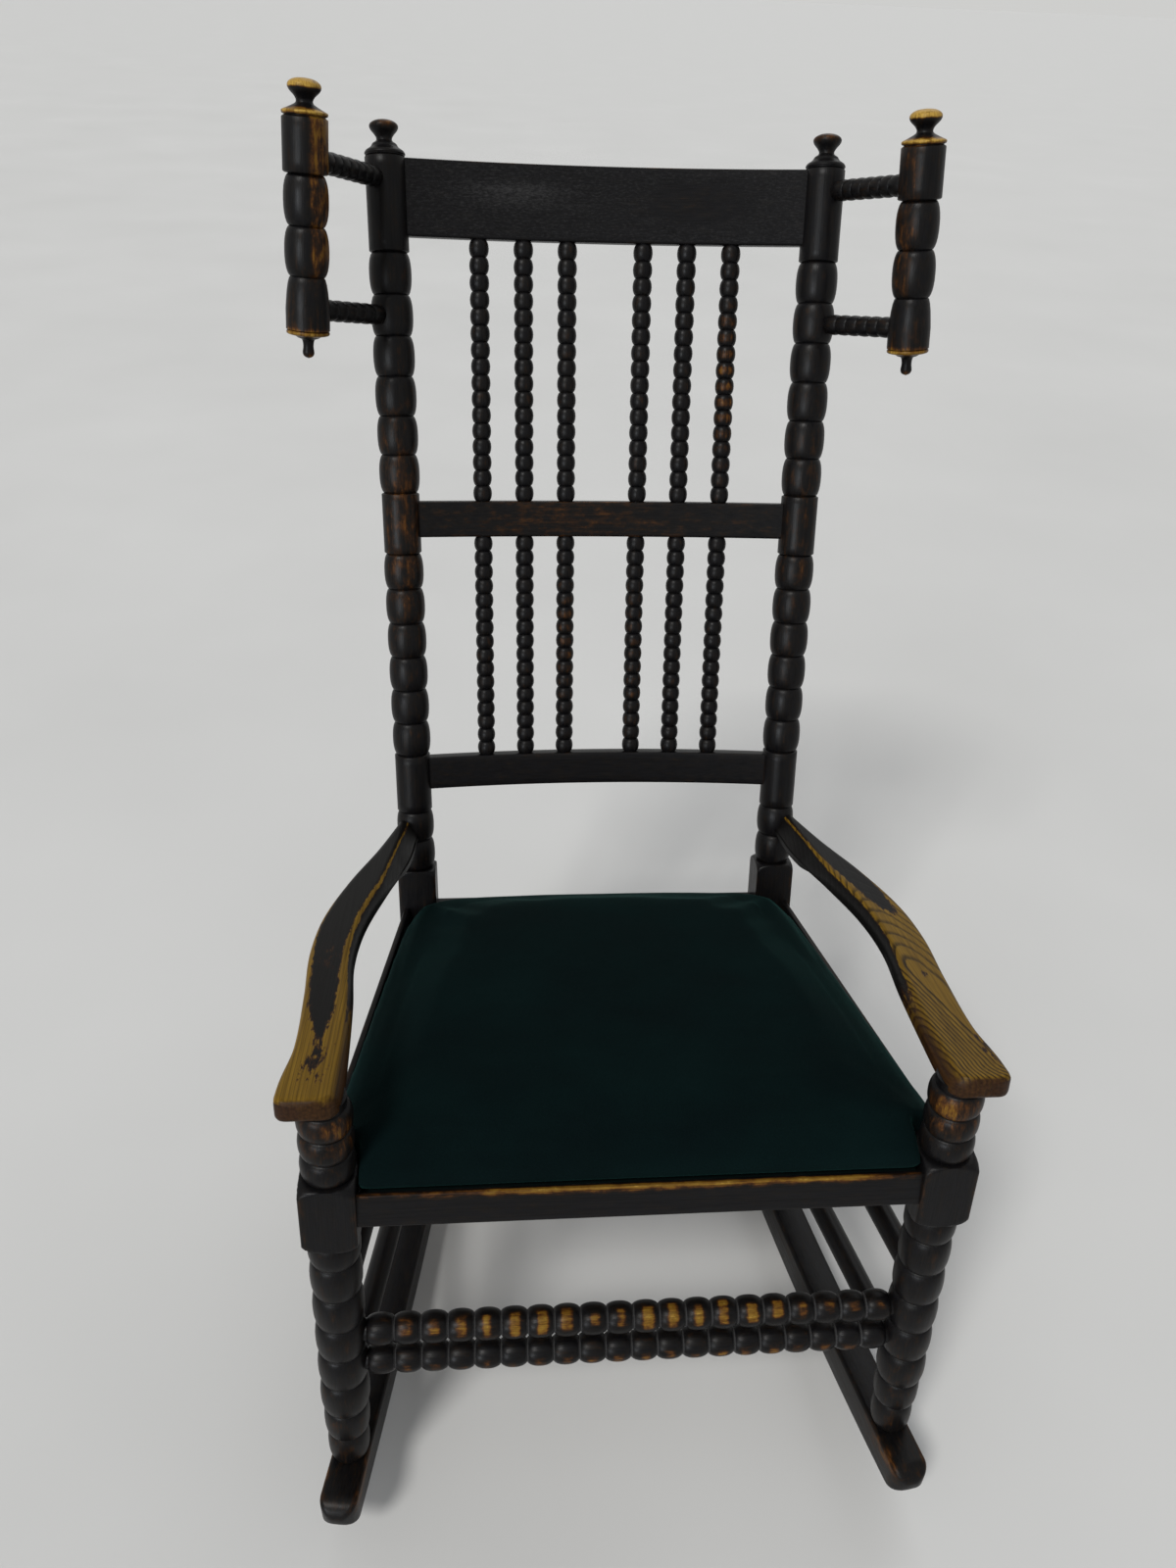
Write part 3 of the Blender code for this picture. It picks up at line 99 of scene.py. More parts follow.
POST_FOOT_DIAMETER = 0.030

# Back rails and spindles
RAIL_BOW = 0.018
BACK_RAIL_THICKNESS = 0.016
BACK_RAIL_SEAT = 0.010
BACK_RAIL_EASE = 0.0024
CREST_HEIGHT = 0.066
CREST_RISE = 0.006
MIDDLE_HEIGHT = 0.0354
MIDDLE_RISE = 0.0037
LOWER_HEIGHT = 0.0354
LOWER_RISE = 0.0094
SPINDLE_FIRST = 0.0369
SPINDLE_STEP = 0.04265
SPINDLES_A_SIDE = 3
SPINDLE_BEADS = 16
SPINDLE_DIAMETER = 0.019
SPINDLE_GROOVE = 0.0135

# Wings
WING_TOP = (0.2598, 0.5375, 1.1072)
WING_RAKE = math.radians(7.9)
WING_SPREAD = math.radians(-3.9)
WING_SAG = 0.0033
WING_DIAMETER = 0.038
WING_GROOVE = 0.0290
WING_RIM = 0.0022
WING_KNOB = 0.0135
WING_KNOB_DIAMETER = 0.0275
WING_NECK = 0.0065
WING_NECK_DIAMETER = 0.0140
WING_CAP = 0.0070
WING_CYLINDER = 0.0427
WING_BOBBINS = 2
WING_BOBBIN = 0.0394
WING_BLOCK = 0.0433
WING_COLLAR = 0.0080
WING_PEG = 0.0155
WING_PEG_DIAMETER = 0.0105
WING_UPPER_JOINT = 0.0567
WING_LOWER_JOINT = 0.1745
POST_UPPER_JOINT = 0.0490
WING_SPINDLE_DIAMETER = 0.0185
WING_SPINDLE_GROOVE = 0.0160
WING_SPINDLE_PITCH = 0.0125

# Seat rails and drop-in seat
SEAT_SLOPE = math.radians(11.0)
SEAT_DROP = 0.0127
RAIL_HEIGHT = 0.031
RAIL_THICKNESS = 0.020
RAIL_SEAT = 0.0084
RAIL_EASE = 0.0016
FRONT_RAIL_SETBACK = 0.005
SIDE_RAIL_FRONT_OFFSET = 0.0065
SIDE_RAIL_REAR_OFFSET = 0.0030
BACK_RAIL_SETBACK = 0.002
REBATE_DEPTH = 0.020
REBATE_LIP = 0.006
BACK_LIP = 0.012
FIT = 0.0003
SLIP_THICKNESS = 0.014
STRAPS = 3
STRAP_THICKNESS = 0.002
STRAP_RIB = 0.0045
STRAP_COVERED = 0.034
PAD_COLUMNS = 4
PAD_ROWS = 5
PAD_EDGE = 0.024
PAD_CROWN = 0.016
PAD_GAP = 0.0015
NOTCH_GAP = 0.0018
PAD_BULGE = 0.003
PAD_CORNER = 0.034
PAD_REAR_DRAW = 0.013
PAD_TOP_INSET = 0.006
PAD_SLACK = 0.0015
PAD_OVERHANG = 0.0045

# Making of the pad: voxel of its mesh, cloth settings, frames run, swell allowed, smoothing, held edges
PAD_VOXEL = 0.005
CLOTH = {
    "quality": 5, "mass": 0.3, "tension_stiffness": 15.0, "compression_stiffness": 15.0,
    "shear_stiffness": 8.0, "bending_stiffness": 2.0, "use_pressure": True,
    "uniform_pressure_force": 4.0, "vertex_group_mass": "held",
}
CLOTH_FRAMES = 20
PAD_SWELL_CAP = 0.008
PAD_SMOOTHING = 12
TACKED_HEIGHT = 0.006
NOTCH_HELD = 0.012

# Stretchers. A front one meets the legs in the middle of a bobbin, given by its number from the top
FRONT_STRETCHER_BOBBINS = {"upper": 3, "lower": 4}
FRONT_BEADS = 20
FRONT_BEAD_DIAMETER = 0.0264
FRONT_BEAD_GROOVE = 0.0186
SIDE_STRETCHER_DROP = {"upper": 0.158, "lower": 0.272}
SIDE_STRETCHER_FALL = 0.066
BACK_STRETCHER_DROP = 0.230
PLAIN_STRETCHER_DIAMETER = 0.022
PLAIN_STRETCHER_SEAT = 0.011

# Arms: share of the way from post to leg, sideways swing, width
ARM_SHAPE = (
    (0.00, 0.0000, 0.0210),
    (0.13, 0.0040, 0.0320),
    (0.28, 0.0163, 0.0370),
    (0.43, 0.0242, 0.0387),
    (0.56, 0.0215, 0.0386),
    (0.70, 0.0096, 0.0398),
    (0.85, -0.0011, 0.0412),
    (0.94, -0.0040, 0.0475),
    (1.00, -0.0060, 0.0475),
)
ARM_THICKNESS = 0.020
ARM_ROUNDING = 0.0055
ARM_REAR_OFFSET = 0.007
ARM_REAR_SEAT = 0.010
ARM_FRONT_OFFSET = 0.0158
ARM_FRONT_REACH = 0.0210
ARM_EASE_END = 0.42
ARM_EASE_LEAST = 0.0050
ARM_EASE_RATIO = 1.43
ARM_EASE_ROUNDING = 0.0042
ARM_INNER_CORNER = 0.016
ARM_OUTER_CORNER = 0.009

# Black finish left on the arms: share of the length, bare margins along the inner and the outer arris
ARM_FINISH = {
    -1: (
        (0.00, 0.0000, 0.0000), (0.10, 0.0006, 0.0008), (0.20, 0.0012, 0.0012), (0.30, 0.0024, 0.0018),
        (0.50, 0.0034, 0.0032), (0.60, 0.0052, 0.0048), (0.70, 0.0075, 0.0054), (0.76, 0.0095, 0.0070),
        (0.82, 0.0140, 0.0140), (0.86, 0.0200, 0.0220),
    ),
    1: (
        (0.00, 0.0005, 0.0000), (0.10, 0.0010, 0.0010), (0.20, 0.0020, 0.0015), (0.30, 0.0062, 0.0030),
        (0.40, 0.0074, 0.0070), (0.45, 0.0140, 0.0090), (0.50, 0.0215, 0.0130),
    ),
}

# Softness of that finish's edge, at three shares of the arm's length
ARM_FINISH_EDGES = {-1: (0.0008, 0.0018, 0.0045), 1: (0.0008, 0.0040, 0.0045)}
ARM_FINISH_EDGE_SHARES = (0.0, 0.45, 0.85)

# Growth rings of the arms: where the right board's pith lies, how it drifts sideways, how dense they are
PITH_X = 0.2478
PITH_FORWARD = 0.303
PITH_LENGTH = 0.134
PITH_DRIFT = 0.225
PITH_REAR_DRIFT = 0.06
PITH_SOFTNESS = 0.008
RING_RATE = 320.0
RINGS_BEHIND = 48.0
LEFT_RING_STEP = 0.003
LEFT_FIGURE = 0.42
RIGHT_FIGURE = 0.74

# Rockers
ROCKER_RADIUS = 1.65
ROCKER_CONTACT_Y = 0.287
ROCKER_HEIGHT = 0.041
ROCKER_END_HEIGHT = 0.034
ROCKER_THICKNESS = 0.034
ROCKER_FRONT = 0.388
ROCKER_REAR = 0.378
ROCKER_FRONT_INSET = 0.0015
ROCKER_REAR_INSET = 0.005
ROCKER_ROUNDING = 0.0045
ROCKER_TOE_CORNER = 0.0155

# How finely the pieces are modelled
BOBBIN_RINGS = 12
BEAD_RINGS = 8
STRETCHER_RINGS = 16
PLAIN_STEP = 0.008
STICK_STEPS = 24
SPINDLE_SIDES = 22
STICK_SIDES = 30
STRETCHER_SIDES = 40
WING_SIDES = 48
BACK_RAIL_PLACES = 97
SEAT_RAIL_PLACES = 61
ARM_SPANS = 110
ROCKER_PLACES = 60
NOSE_STEPS = 9
NOSE_GAP = 0.0004
SHOULDER_STEPS = 7
SHARP_ANGLE = math.radians(48)
HIDDEN_RUN = 0.008
LEAST_RADIUS = 0.0004

# Profiles of the turned bulges: fullness of the middle, and how sharply they are pinched at the grooves
POST_PROFILE = (2.4, 0.60)
BEAD_PROFILE = (2.0, 0.66)
STRETCHER_PROFILE = (2.3, 0.68)

# Turned ends: shares of (radius, height down) through which a smooth curve runs
BALL = ((0.55, 0.06), (0.90, 0.24), (1.00, 0.46), (0.90, 0.70))
WAIST = ((1.00, 0.35), (1.06, 0.70), (1.50, 1.00))
POST_SHOULDER = ((0.70, 0.38), (0.93, 0.72), (1.00, 1.00))
CAP = ((0.78, 0.30), (0.98, 0.55), (1.00, 0.75), (0.97, 0.92))
COLLAR = ((0.95, 0.05), (0.99, 0.22), (0.93, 0.45), (0.62, 0.62))
PEG = ((1.05, 0.00), (0.86, 0.35), (0.98, 0.70), (0.72, 0.90))

# Eased edges: the rim of a block's shoulder, and the arris of a plain stretch as (inset, depth, swell)
BLOCK_RIM = 0.0006
PLAIN_EASE = 0.0016
PLAIN_ARRIS = ((PLAIN_EASE, 0.0004, 0.7), (PLAIN_EASE * 0.3, PLAIN_EASE * 0.7, 0.8))

# Wear by side: the posts' middle, the legs under the arms, the wings where hands hold them
POST_RUBBED = {-1: 0.27, 1: 0.14}
UNDER_ARM_RUBBED = {-1: 0.20, 1: 0.30}
WING_HELD = {-1: 0.52, 1: 0.24}

# Marks on the crest rail: a dusty scratched place and a brown one, sideways from the middle
CREST_SCRATCH_X = -0.085
CREST_BROWN_X = 0.09

# How far each bead of the front stretchers is rubbed, from left to right; then tilt, half angle and depth
STRETCHER_RUBS = {
    "upper": (
        0.0, 0.35, 0.6, 0.75, 1.0, 1.0, 1.0, 1.0, 0.55, 0.85,
        0.9, 1.0, 0.95, 1.0, 1.0, 0.8, 0.4, 0.25, 0.1, 0.1,
    ),
    "lower": (
        0.0, 0.15, 0.2, 0.1, 0.25, 0.2, 0.25, 0.5, 0.35, 0.55,
        0.5, 0.45, 0.5, 0.6, 0.7, 0.6, 0.2, 0.15, 0.1, 0.0,
    ),
}
STRETCHER_RUB_PLACE = {
    "upper": (math.radians(55), math.radians(42), 0.90),
    "lower": (math.radians(2), math.radians(36), 0.80),
}

# Spindles of the back that are rubbed brown: height of the middle, spread, amount
SPINDLE_RUBS = {
    ("upper", 6): (0.115, 0.080, 0.42),
    ("lower", 3): (0.120, 0.070, 0.30),
    ("lower", 4): (0.100, 0.070, 0.26),
}
SPINDLE_RUB_ELSEWHERE = (0.10, 0.06, 0.05)

# Single colours, and the strength of the ambient light
WHITE = (1.0, 1.0, 1.0)
# Grey of dust in the grooves; on the crest rail the same grey is a painted sheen
DUST_AND_SHEEN_GREY = (0.046, 0.045, 0.045)
RING_LINE = (0.0085, 0.0048, 0.0020)
VELVET_DARK = (0.0015, 0.0056, 0.0054)
VELVET_SHEEN = (0.10, 0.45, 0.40)
BACKDROP = (0.617, 0.618, 0.606)
AMBIENT = (0.97, 0.98, 1.0)
AMBIENT_STRENGTH = 0.50

# Sun lamps: turn (0 is from the front, positive to the right), rise, spread, strength, colour
LAMPS = {
    "key": (-38.0, 52.0, 13.0, 1.9, (1.0, 0.985, 0.96)),
    "window": (-32.0, 10.0, 20.0, 1.3, (0.90, 0.95, 1.0)),
    "back": (160.0, 45.0, 40.0, 0.45, (0.96, 0.98, 1.0)),
}
FLOOR_RADIUS = 400.0

# Camera, solved from the photo: place, tilt down, roll, turn, and focal length in pixels
CAMERA_PLACE = Vector((-0.1098, -0.5650, 1.1779))
CAMERA_PITCH = math.radians(34.767)
CAMERA_ROLL = math.radians(2.401)
CAMERA_YAW = math.radians(5.443)
FOCAL_PIXELS = 1168.9
IMAGE_HEIGHT = 1600

SIDES = {"left": -1, "right": 1}
WORLD_X = Vector((1.0, 0.0, 0.0))
WORLD_Y = Vector((0.0, 1.0, 0.0))
WORLD_Z = Vector((0.0, 0.0, 1.0))
SHIFT = Vector((0.0, frame["record"]["mounts"][0]["pos_m"][1] - ROCKER_CONTACT_Y, 0.0))


# Materials

class Nodes:
    """Short calls that add the nodes of one material, or of the world."""

    def __init__(self, tree):
        self.tree = tree

    def put(self, socket, value):
        """Link an output to a socket, or set the socket's own constant."""
        if isinstance(value, bpy.types.NodeSocket):
            self.tree.links.new(value, socket)
        elif socket.type == "RGBA":
            socket.default_value = (*value, 1.0)
        else:
            socket.default_value = value

    def add(self, kind, inputs=None, **settings):
        item = self.tree.nodes.new(kind)
        for key, value in settings.items():
            setattr(item, key, value)
        for key, value in (inputs or {}).items():
            self.put(item.inputs[key], value)
        return item

    def attribute(self, name, output="Fac"):
        return self.add("ShaderNodeAttribute", attribute_name=name).outputs[output]

    def part(self, vector, axis):
        return self.add("ShaderNodeSeparateXYZ", {"Vector": vector}).outputs[axis]

    def noise(self, place, scale, detail=3.0, roughness=0.55):
        """Noise about a mean of 0.5, finer along an axis with a larger scale."""
        place = self.add("ShaderNodeMapping", {"Vector": place, "Scale": scale}).outputs["Vector"]
        values = {"Vector": place, "Scale": 1.0, "Detail": detail, "Roughness": roughness}
        return self.add("ShaderNodeTexNoise", values).outputs["Fac"]

    def calc(self, operation, first, second=0.0, third=0.0):
        return self.add("ShaderNodeMath", {0: first, 1: second, 2: third}, operation=operation).outputs[0]

    def times(self, value, factor, plus=0.0):
        """A product with something added to it."""
        return self.calc("MULTIPLY_ADD", value, factor, plus)

    def remap(self, value, low, high, to_low=0.0, to_high=1.0):
        limits = {"Value": value, "From Min": low, "From Max": high, "To Min": to_low, "To Max": to_high}
        return self.add("ShaderNodeMapRange", limits, interpolation_type="SMOOTHSTEP").outputs["Result"]

    def ramp(self, value, stops):
        """Colour ramp from (place, colour) pairs."""
        item = self.add("ShaderNodeValToRGB", {"Fac": value})
        elements = item.color_ramp.elements
        while len(elements) < len(stops):
            elements.new(1.0)
        for element, (place, colour) in zip(elements, stops):
            element.position = place
            element.color = (*colour, 1.0)
        return item.outputs["Color"]

    def mix(self, factor, first, second, blend="MIX"):
        inputs = {0: factor, 6: first, 7: second}
        return self.add("ShaderNodeMix", inputs, data_type="RGBA", blend_type=blend).outputs[2]

    def bump(self, height, strength, distance, normal=None):
        values = {"Height": height, "Strength": strength, "Distance": distance}
        if normal is not None:
            values["Normal"] = normal
        return self.add("ShaderNodeBump", values).outputs["Normal"]


class Material(Nodes):
    def __init__(self, name):
        self.data = bpy.data.materials.new(name)
        self.data.use_nodes = True
        super().__init__(self.data.node_tree)

    def finished(self, inputs):
        """The material, with the shader's own sockets linked or set."""
        shader = self.tree.nodes["Principled BSDF"]
        for name, value in inputs.items():
            self.put(shader.inputs[name], value)
        return self.data


def ebonised_ash():
    """Black-stained ash, rubbed through brown to golden wood; a bare value below 0 shows as grey dust, and on
    the crest rail as a painted sheen.
    """
    wood = Material("ebonised_ash_worn")
    grain = wood.attribute("grain", "Vector")
    bare = wood.attribute("bare")
    pores = wood.noise(grain, (1100.0, 1100.0, 24.0), 2.0)
    streaks = wood.noise(grain, (300.0, 300.0, 14.0))
    patches = wood.noise(grain, (150.0, 150.0, 70.0), 5.0, 0.66)
    rubbed = wood.times(wood.remap(patches, 0.32, 0.68), 0.34, bare)
    rubbed = wood.times(streaks, 0.50, rubbed)
    colour = wood.ramp(wood.calc("SUBTRACT", rubbed, 0.42), (
        (0.00, (0.0042, 0.0040, 0.0046)),
        (0.24, (0.0058, 0.0047, 0.0042)),
        (0.42, (0.0200, 0.0090, 0.0038)),
        (0.56, (0.0660, 0.0250, 0.0055)),
        (0.67, (0.1280, 0.0590, 0.0075)),
        (0.90, (0.1850, 0.1030, 0.0140)),
        (1.00, (0.3600, 0.2200, 0.0420)),
    ))
    shade = wood.ramp(pores, ((0.32, (0.50, 0.47, 0.45)), (0.58, WHITE)))
    colour = wood.mix(1.0, colour, shade, "MULTIPLY")
    specks = wood.noise(grain, (700.0, 700.0, 260.0), 3.0, 0.6)
    # Grey where bare is below 0: real dust in grooves, and across the crest rail a painted sheen in place of
    # reflected light
    dust_and_sheen = wood.remap(wood.times(specks, -0.26, bare), -0.19, -0.42, 0.0, 0.8)
    dullness = wood.times(streaks, 0.22, 0.18)
    low = wood.bump(patches, 0.16, 0.0012)
    return wood.finished({
        "Base Color": wood.mix(dust_and_sheen, colour, DUST_AND_SHEEN_GREY),
        "Roughness": wood.times(patches, 0.16, dullness),
        "Normal": wood.bump(pores, 0.26, 0.0004, low),
        "Specular IOR Level": 0.115,
    })


def worn_ash():
    """Arm of bare ash with its growth rings, flakes of the black finish, and a smooth brown stain."""
    wood = Material("worn_ash_arm")
    grain = wood.attribute("grain", "Vector")
    figure = wood.attribute("figure")
    drift = wood.noise(grain, (40.0, 40.0, 14.0))
    pores = wood.noise(grain, (1050.0, 1050.0, 26.0), 2.0)
    fibres = wood.noise(grain, (420.0, 420.0, 11.0))
    turn = wood.times(drift, 0.8, wood.attribute("rings"))
    turn = wood.calc("FRACT", wood.times(fibres, 0.25, turn))
    before = wood.remap(turn, 0.86, 0.98)
    after = wood.remap(turn, wood.times(figure, 0.48), 0.05)
    line = wood.calc("MAXIMUM", before, after)
    line = wood.times(line, wood.remap(pores, 0.64, 0.44, 0.72, 1.0))
    line = wood.times(line, figure)
    light = wood.ramp(fibres, ((0.30, (0.084, 0.045, 0.0034)), (0.70, (0.168, 0.096, 0.0100))))
    bare_wood = wood.mix(line, light, RING_LINE)
    flakes = wood.noise(grain, (290.0, 290.0, 90.0), 6.0, 0.70)
    rubbed = wood.times(wood.remap(flakes, 0.34, 0.66), 0.60, wood.attribute("bare"))
    worn = wood.calc("SUBTRACT", wood.times(fibres, 0.45, rubbed), 0.525)
    finish = wood.ramp(worn, (
        (0.20, (0.0038, 0.0034, 0.0032)),
        (0.40, (0.0120, 0.0060, 0.0036)),
        (0.52, (0.0420, 0.0180, 0.0050)),
        (0.62, (0.0950, 0.0460, 0.0070)),
    ))
    colour = wood.mix(wood.remap(worn, 0.50, 0.62), finish, bare_wood)
    brown = wood.ramp(fibres, ((0.30, (0.0140, 0.0062, 0.0031)), (0.70, (0.0350, 0.0148, 0.0058))))
    low = wood.bump(wood.remap(worn, 0.45, 0.65), 0.25, 0.0004)
    low = wood.bump(wood.calc("SUBTRACT", 1.0, line), 0.22, 0.0004, low)
    return wood.finished({
        "Base Color": wood.mix(wood.attribute("stain"), colour, brown),
        "Roughness": wood.times(fibres, 0.24, 0.28),
        "Normal": wood.bump(pores, 0.18, 0.0004, low),
        "Specular IOR Level": 0.08,
    })


def velvet():
    """Dark green cotton velvet: short pile, near black from above and greener at grazing angles."""
    cloth = Material("green_velvet_pile")
    place = cloth.attribute("grain", "Vector")
    pile = cloth.noise(place, (1500.0, 1500.0, 1500.0), 2.0)
    brushed = cloth.noise(place, (9.0, 14.0, 9.0))
    colour = cloth.ramp(brushed, ((0.30, (0.0012, 0.0042, 0.0046)), (0.70, (0.0023, 0.0078, 0.0079))))
    shade = cloth.ramp(pile, ((0.30, (0.60, 0.60, 0.60)), (0.70, WHITE)))
    return cloth.finished({
        "Base Color": cloth.mix(1.0, colour, shade, "MULTIPLY"),
        "Roughness": cloth.remap(brushed, 0.3, 0.7, 0.85, 0.98),
        "Normal": cloth.bump(pile, 0.35, 0.0006),
        "Specular IOR Level": 0.03,
        "Sheen Weight": 0.07,
        "Sheen Roughness": 0.35,
        "Sheen Tint": VELVET_SHEEN,
    })


def jute():
    """Plain-woven webbing: crossing ribs, and near its ends the velvet that is drawn down over it."""
    web = Material("jute_webbing_weave")
    place = web.attribute("grain", "Vector")
    warp = web.calc("SINE", web.times(web.part(place, "X"), 1900.0))
    weft = web.calc("SINE", web.times(web.part(place, "Z"), 1500.0))
    weave = web.times(web.times(warp, weft), 0.5, 0.5)
    fibres = web.noise(place, (600.0, 600.0, 90.0))
    mixed = web.times(fibres, 0.6, web.times(weave, 0.4))
    colour = web.ramp(mixed, ((0.25, (0.120, 0.078, 0.038)), (0.75, (0.420, 0.310, 0.180))))
    return web.finished({
        "Base Color": web.mix(web.attribute("cover"), colour, VELVET_DARK),
        "Roughness": web.remap(fibres, 0.2, 0.8, 0.80, 0.95),
        "Normal": web.bump(weave, 0.55, 0.0008),
        "Specular IOR Level": 0.10,
    })


def pine():
    """Sawn pine of the slips' undersides; the velvet is drawn over their tops and sides."""
    wood = Material("pine_sawn")
    place = wood.add("ShaderNodeTexCoord").outputs["Object"]
    rings = wood.noise(place, (26.0, 60.0, 60.0), 4.0)
    fuzz = wood.noise(place, (260.0, 500.0, 500.0))
    colour = wood.ramp(rings, (
        (0.35, (0.300, 0.185, 0.090)), (0.52, (0.520, 0.370, 0.215)), (0.70, (0.430, 0.285, 0.150)),
    ))
    shade = wood.ramp(fuzz, ((0.25, (0.70, 0.66, 0.62)), (0.60, WHITE)))
    colour = wood.mix(1.0, colour, shade, "MULTIPLY")
    facing = wood.part(wood.add("ShaderNodeNewGeometry").outputs["Normal"], "Z")
    return wood.finished({
        "Base Color": wood.mix(wood.remap(facing, -0.8, -0.5), colour, VELVET_DARK),
        "Roughness": wood.remap(fuzz, 0.2, 0.8, 0.60, 0.85),
        "Normal": wood.bump(fuzz, 0.30, 0.0006),
        "Specular IOR Level": 0.10,
    })


def pale_floor():
    floor = Material("pale_floor")
    place = floor.add("ShaderNodeTexCoord").outputs["Object"]
    cloud = floor.noise(place, (1.3, 1.3, 1.3))
    return floor.finished({
        "Base Color": floor.ramp(cloud, ((0.3, (0.511, 0.511, 0.502)), (0.7, (0.544, 0.544, 0.535)))),
        "Roughness": floor.remap(cloud, 0.3, 0.7, 0.60, 0.75),
        "Specular IOR Level": 0.15,
    })


EBONISED = ebonised_ash()
ARM_ASH = worn_ash()
VELVET = velvet()
JUTE = jute()


# Meshes from rings of points

def store(mesh, name, kind, values):
    layer = mesh.attributes.new(name, kind, "POINT")
    key = "vector" if kind == "FLOAT_VECTOR" else "value"
    layer.data.foreach_set(key, np.asarray(values, dtype=np.float32).ravel())


def close_rings(mesh, loops):
    """Skin an array of closed rings and close both ends."""
    rows, sides = loops.shape[:2]
    faces = []
    for i in range(rows - 1):
        for j in range(sides):
            a = i * sides + j
            b = i * sides + (j + 1) % sides
            faces.append((a, b, b + sides, a + sides))
    faces.append(tuple(reversed(range(sides))))
    faces.append(tuple(range((rows - 1) * sides, rows * sides)))
    mesh.from_pydata(loops.reshape(-1, 3).tolist(), [], faces)
    shape = bmesh.new()
    shape.from_mesh(mesh)
    bmesh.ops.recalc_face_normals(shape, faces=shape.faces)
    shape.to_mesh(mesh)
    shape.free()


def show(node, mesh, body):
    """Object that shows a mesh in the place of a CAD node."""
    piece = bpy.data.objects.new("visual_" + node, mesh)
    bpy.context.scene.collection.objects.link(piece)
    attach(piece, body)
    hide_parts(node)
    return piece


def make_piece(node, loops, grain, values, material, body="chair"):
    """Piece skinned from rings of points; values holds its other attributes by name."""
    mesh = bpy.data.meshes.new("visual_" + node)
    close_rings(mesh, loops)
    store(mesh, "grain", "FLOAT_VECTOR", grain)
    for name, numbers in values.items():
        store(mesh, name, "FLOAT", np.broadcast_to(numbers, loops.shape[:2]))
    mesh.shade_smooth()
    mesh.set_sharp_from_angle(angle=SHARP_ANGLE)
    mesh.materials.append(material)
    show(node, mesh, body)


def frame_along(origin, direction, side_hint=WORLD_Y):
    """Local Z runs along direction, and local X is square to it and to side_hint."""
    z_axis = direction.normalized()
    x_axis = side_hint.cross(z_axis).normalized()
    y_axis = z_axis.cross(x_axis)
    matrix = Matrix((x_axis, y_axis, z_axis)).transposed().to_4x4()
    matrix.translation = origin
    return matrix


def to_world(matrix, points):
    values = np.array(matrix)
    return points @ values[:3, :3].T + values[:3, 3]


def grain_of(node, points):
    """Grain positions, shifted so that no two pieces are cut from the same stretch of wood."""
    seat = random.Random(node)
    return points + np.array([seat.uniform(-0.4, 0.4), seat.uniform(-0.4, 0.4), seat.uniform(-3.0, 3.0)])


def dark_piece(node, matrix, points, grain, bare):
    """Piece of ebonised ash from rings of points in a frame of its own."""
    loops = to_world(matrix, points)
    make_piece(node, loops, grain_of(node, grain), {"bare": bare}, EBONISED)


def bump_at(value, centre, width):
    return np.exp(-((value - centre) / width) ** 2)


def step(value, low, high):
    share = np.clip((value - low) / (high - low), 0.0, 1.0)
    return share * share * (3.0 - 2.0 * share)


def curve(start, end, start_slope, end_slope, t):
    """Point at share t of a smooth curve between two points."""
    return (start * (2 * t ** 3 - 3 * t ** 2 + 1) + start_slope * (t ** 3 - 2 * t ** 2 + t)
            + end * (3 * t ** 2 - 2 * t ** 3) + end_slope * (t ** 3 - t ** 2))


# Turned shapes, as rows from the top down

SQUARE_POWER = 26.0
QUADRANT = (0.0, 10.0, 20.0, 29.0, 36.0, 41.0, 43.5, 45.0, 46.5, 49.0, 54.0, 61.0, 70.0, 80.0)
BLOCK_ANGLES = np.radians([90.0 * turn + angle for turn in range(4) for angle in QUADRANT])


def row(radius, height, swell=0.0, half=0.0):
    """One ring: swell is 0 in a groove and 1 on a bulge, half is a square block's half width or else 0."""
    return radius, height, swell, half


def round_angles(sides):
    return np.arange(sides) * math.tau / sides


def soft_square(half, angles):
    """Radius of a square with slightly eased corners."""
    across = np.abs(np.cos(angles)) ** SQUARE_POWER + np.abs(np.sin(angles)) ** SQUARE_POWER
    return half / across ** (1.0 / SQUARE_POWER)


def turned(node, origin, up, rows, angles, wear, hint=WORLD_Y):
    """Lathe-turned piece along an axis; wear gives how bare each point is."""
    rows = np.array(rows[::-1])
    radius, height, swell, half = (rows[:, k:k + 1] for k in range(4))
    width = np.maximum(half, 1e-6)
    reach = np.minimum(radius, np.where(half > 0.0, soft_square(width, angles), 1.0))
    corner = np.where(half > 0.0, step(reach / width, 1.24, 1.36), 0.0)
    circle = np.stack([np.cos(angles), np.sin(angles), np.zeros_like(angles)], axis=-1)
    points = reach[..., None] * circle + height[..., None] * np.array(WORLD_Z)
    matrix = frame_along(origin, up, hint)
    x, y, z = (circle @ np.array(matrix)[:3, :3].T).T
    bare = wear(height, x, -y, z, swell) + 0.20 * corner
    dark_piece(node, matrix, points, points, bare)


def bobbins(top, count, length, diameter, groove, rings=BOBBIN_RINGS, profile=POST_PROFILE):
    """Barrel-shaped bobbins, without the last one's lower groove; rings crowd towards the grooves."""
    fullness, pinch = profile
    rows = []
    for i in range(count * rings):
        share = (1.0 - math.cos(math.pi * (i % rings) / rings)) / 2
        swell = (1.0 - abs(2.0 * share - 1.0) ** fullness) ** pinch
        height = top - length * (i // rings + share)
        rows.append(row(groove / 2 + (diameter - groove) / 2 * swell, height, swell))
    return rows


def plain(top, bottom, diameter, groove):
    """Plain stretch with an eased arris at both ends."""
    radius = diameter / 2
    count = max(2, round((top - bottom) / PLAIN_STEP))
    run = top - bottom - 2 * PLAIN_EASE
    rows = [row(groove / 2, top)]
    rows += [row(radius - inset, top - depth, swell) for inset, depth, swell in PLAIN_ARRIS]
    rows += [row(radius, top - PLAIN_EASE - run * i / count, 0.55) for i in range(count + 1)]
    rows += [row(radius - inset, bottom + depth, swell) for inset, depth, swell in reversed(PLAIN_ARRIS)]
    return rows


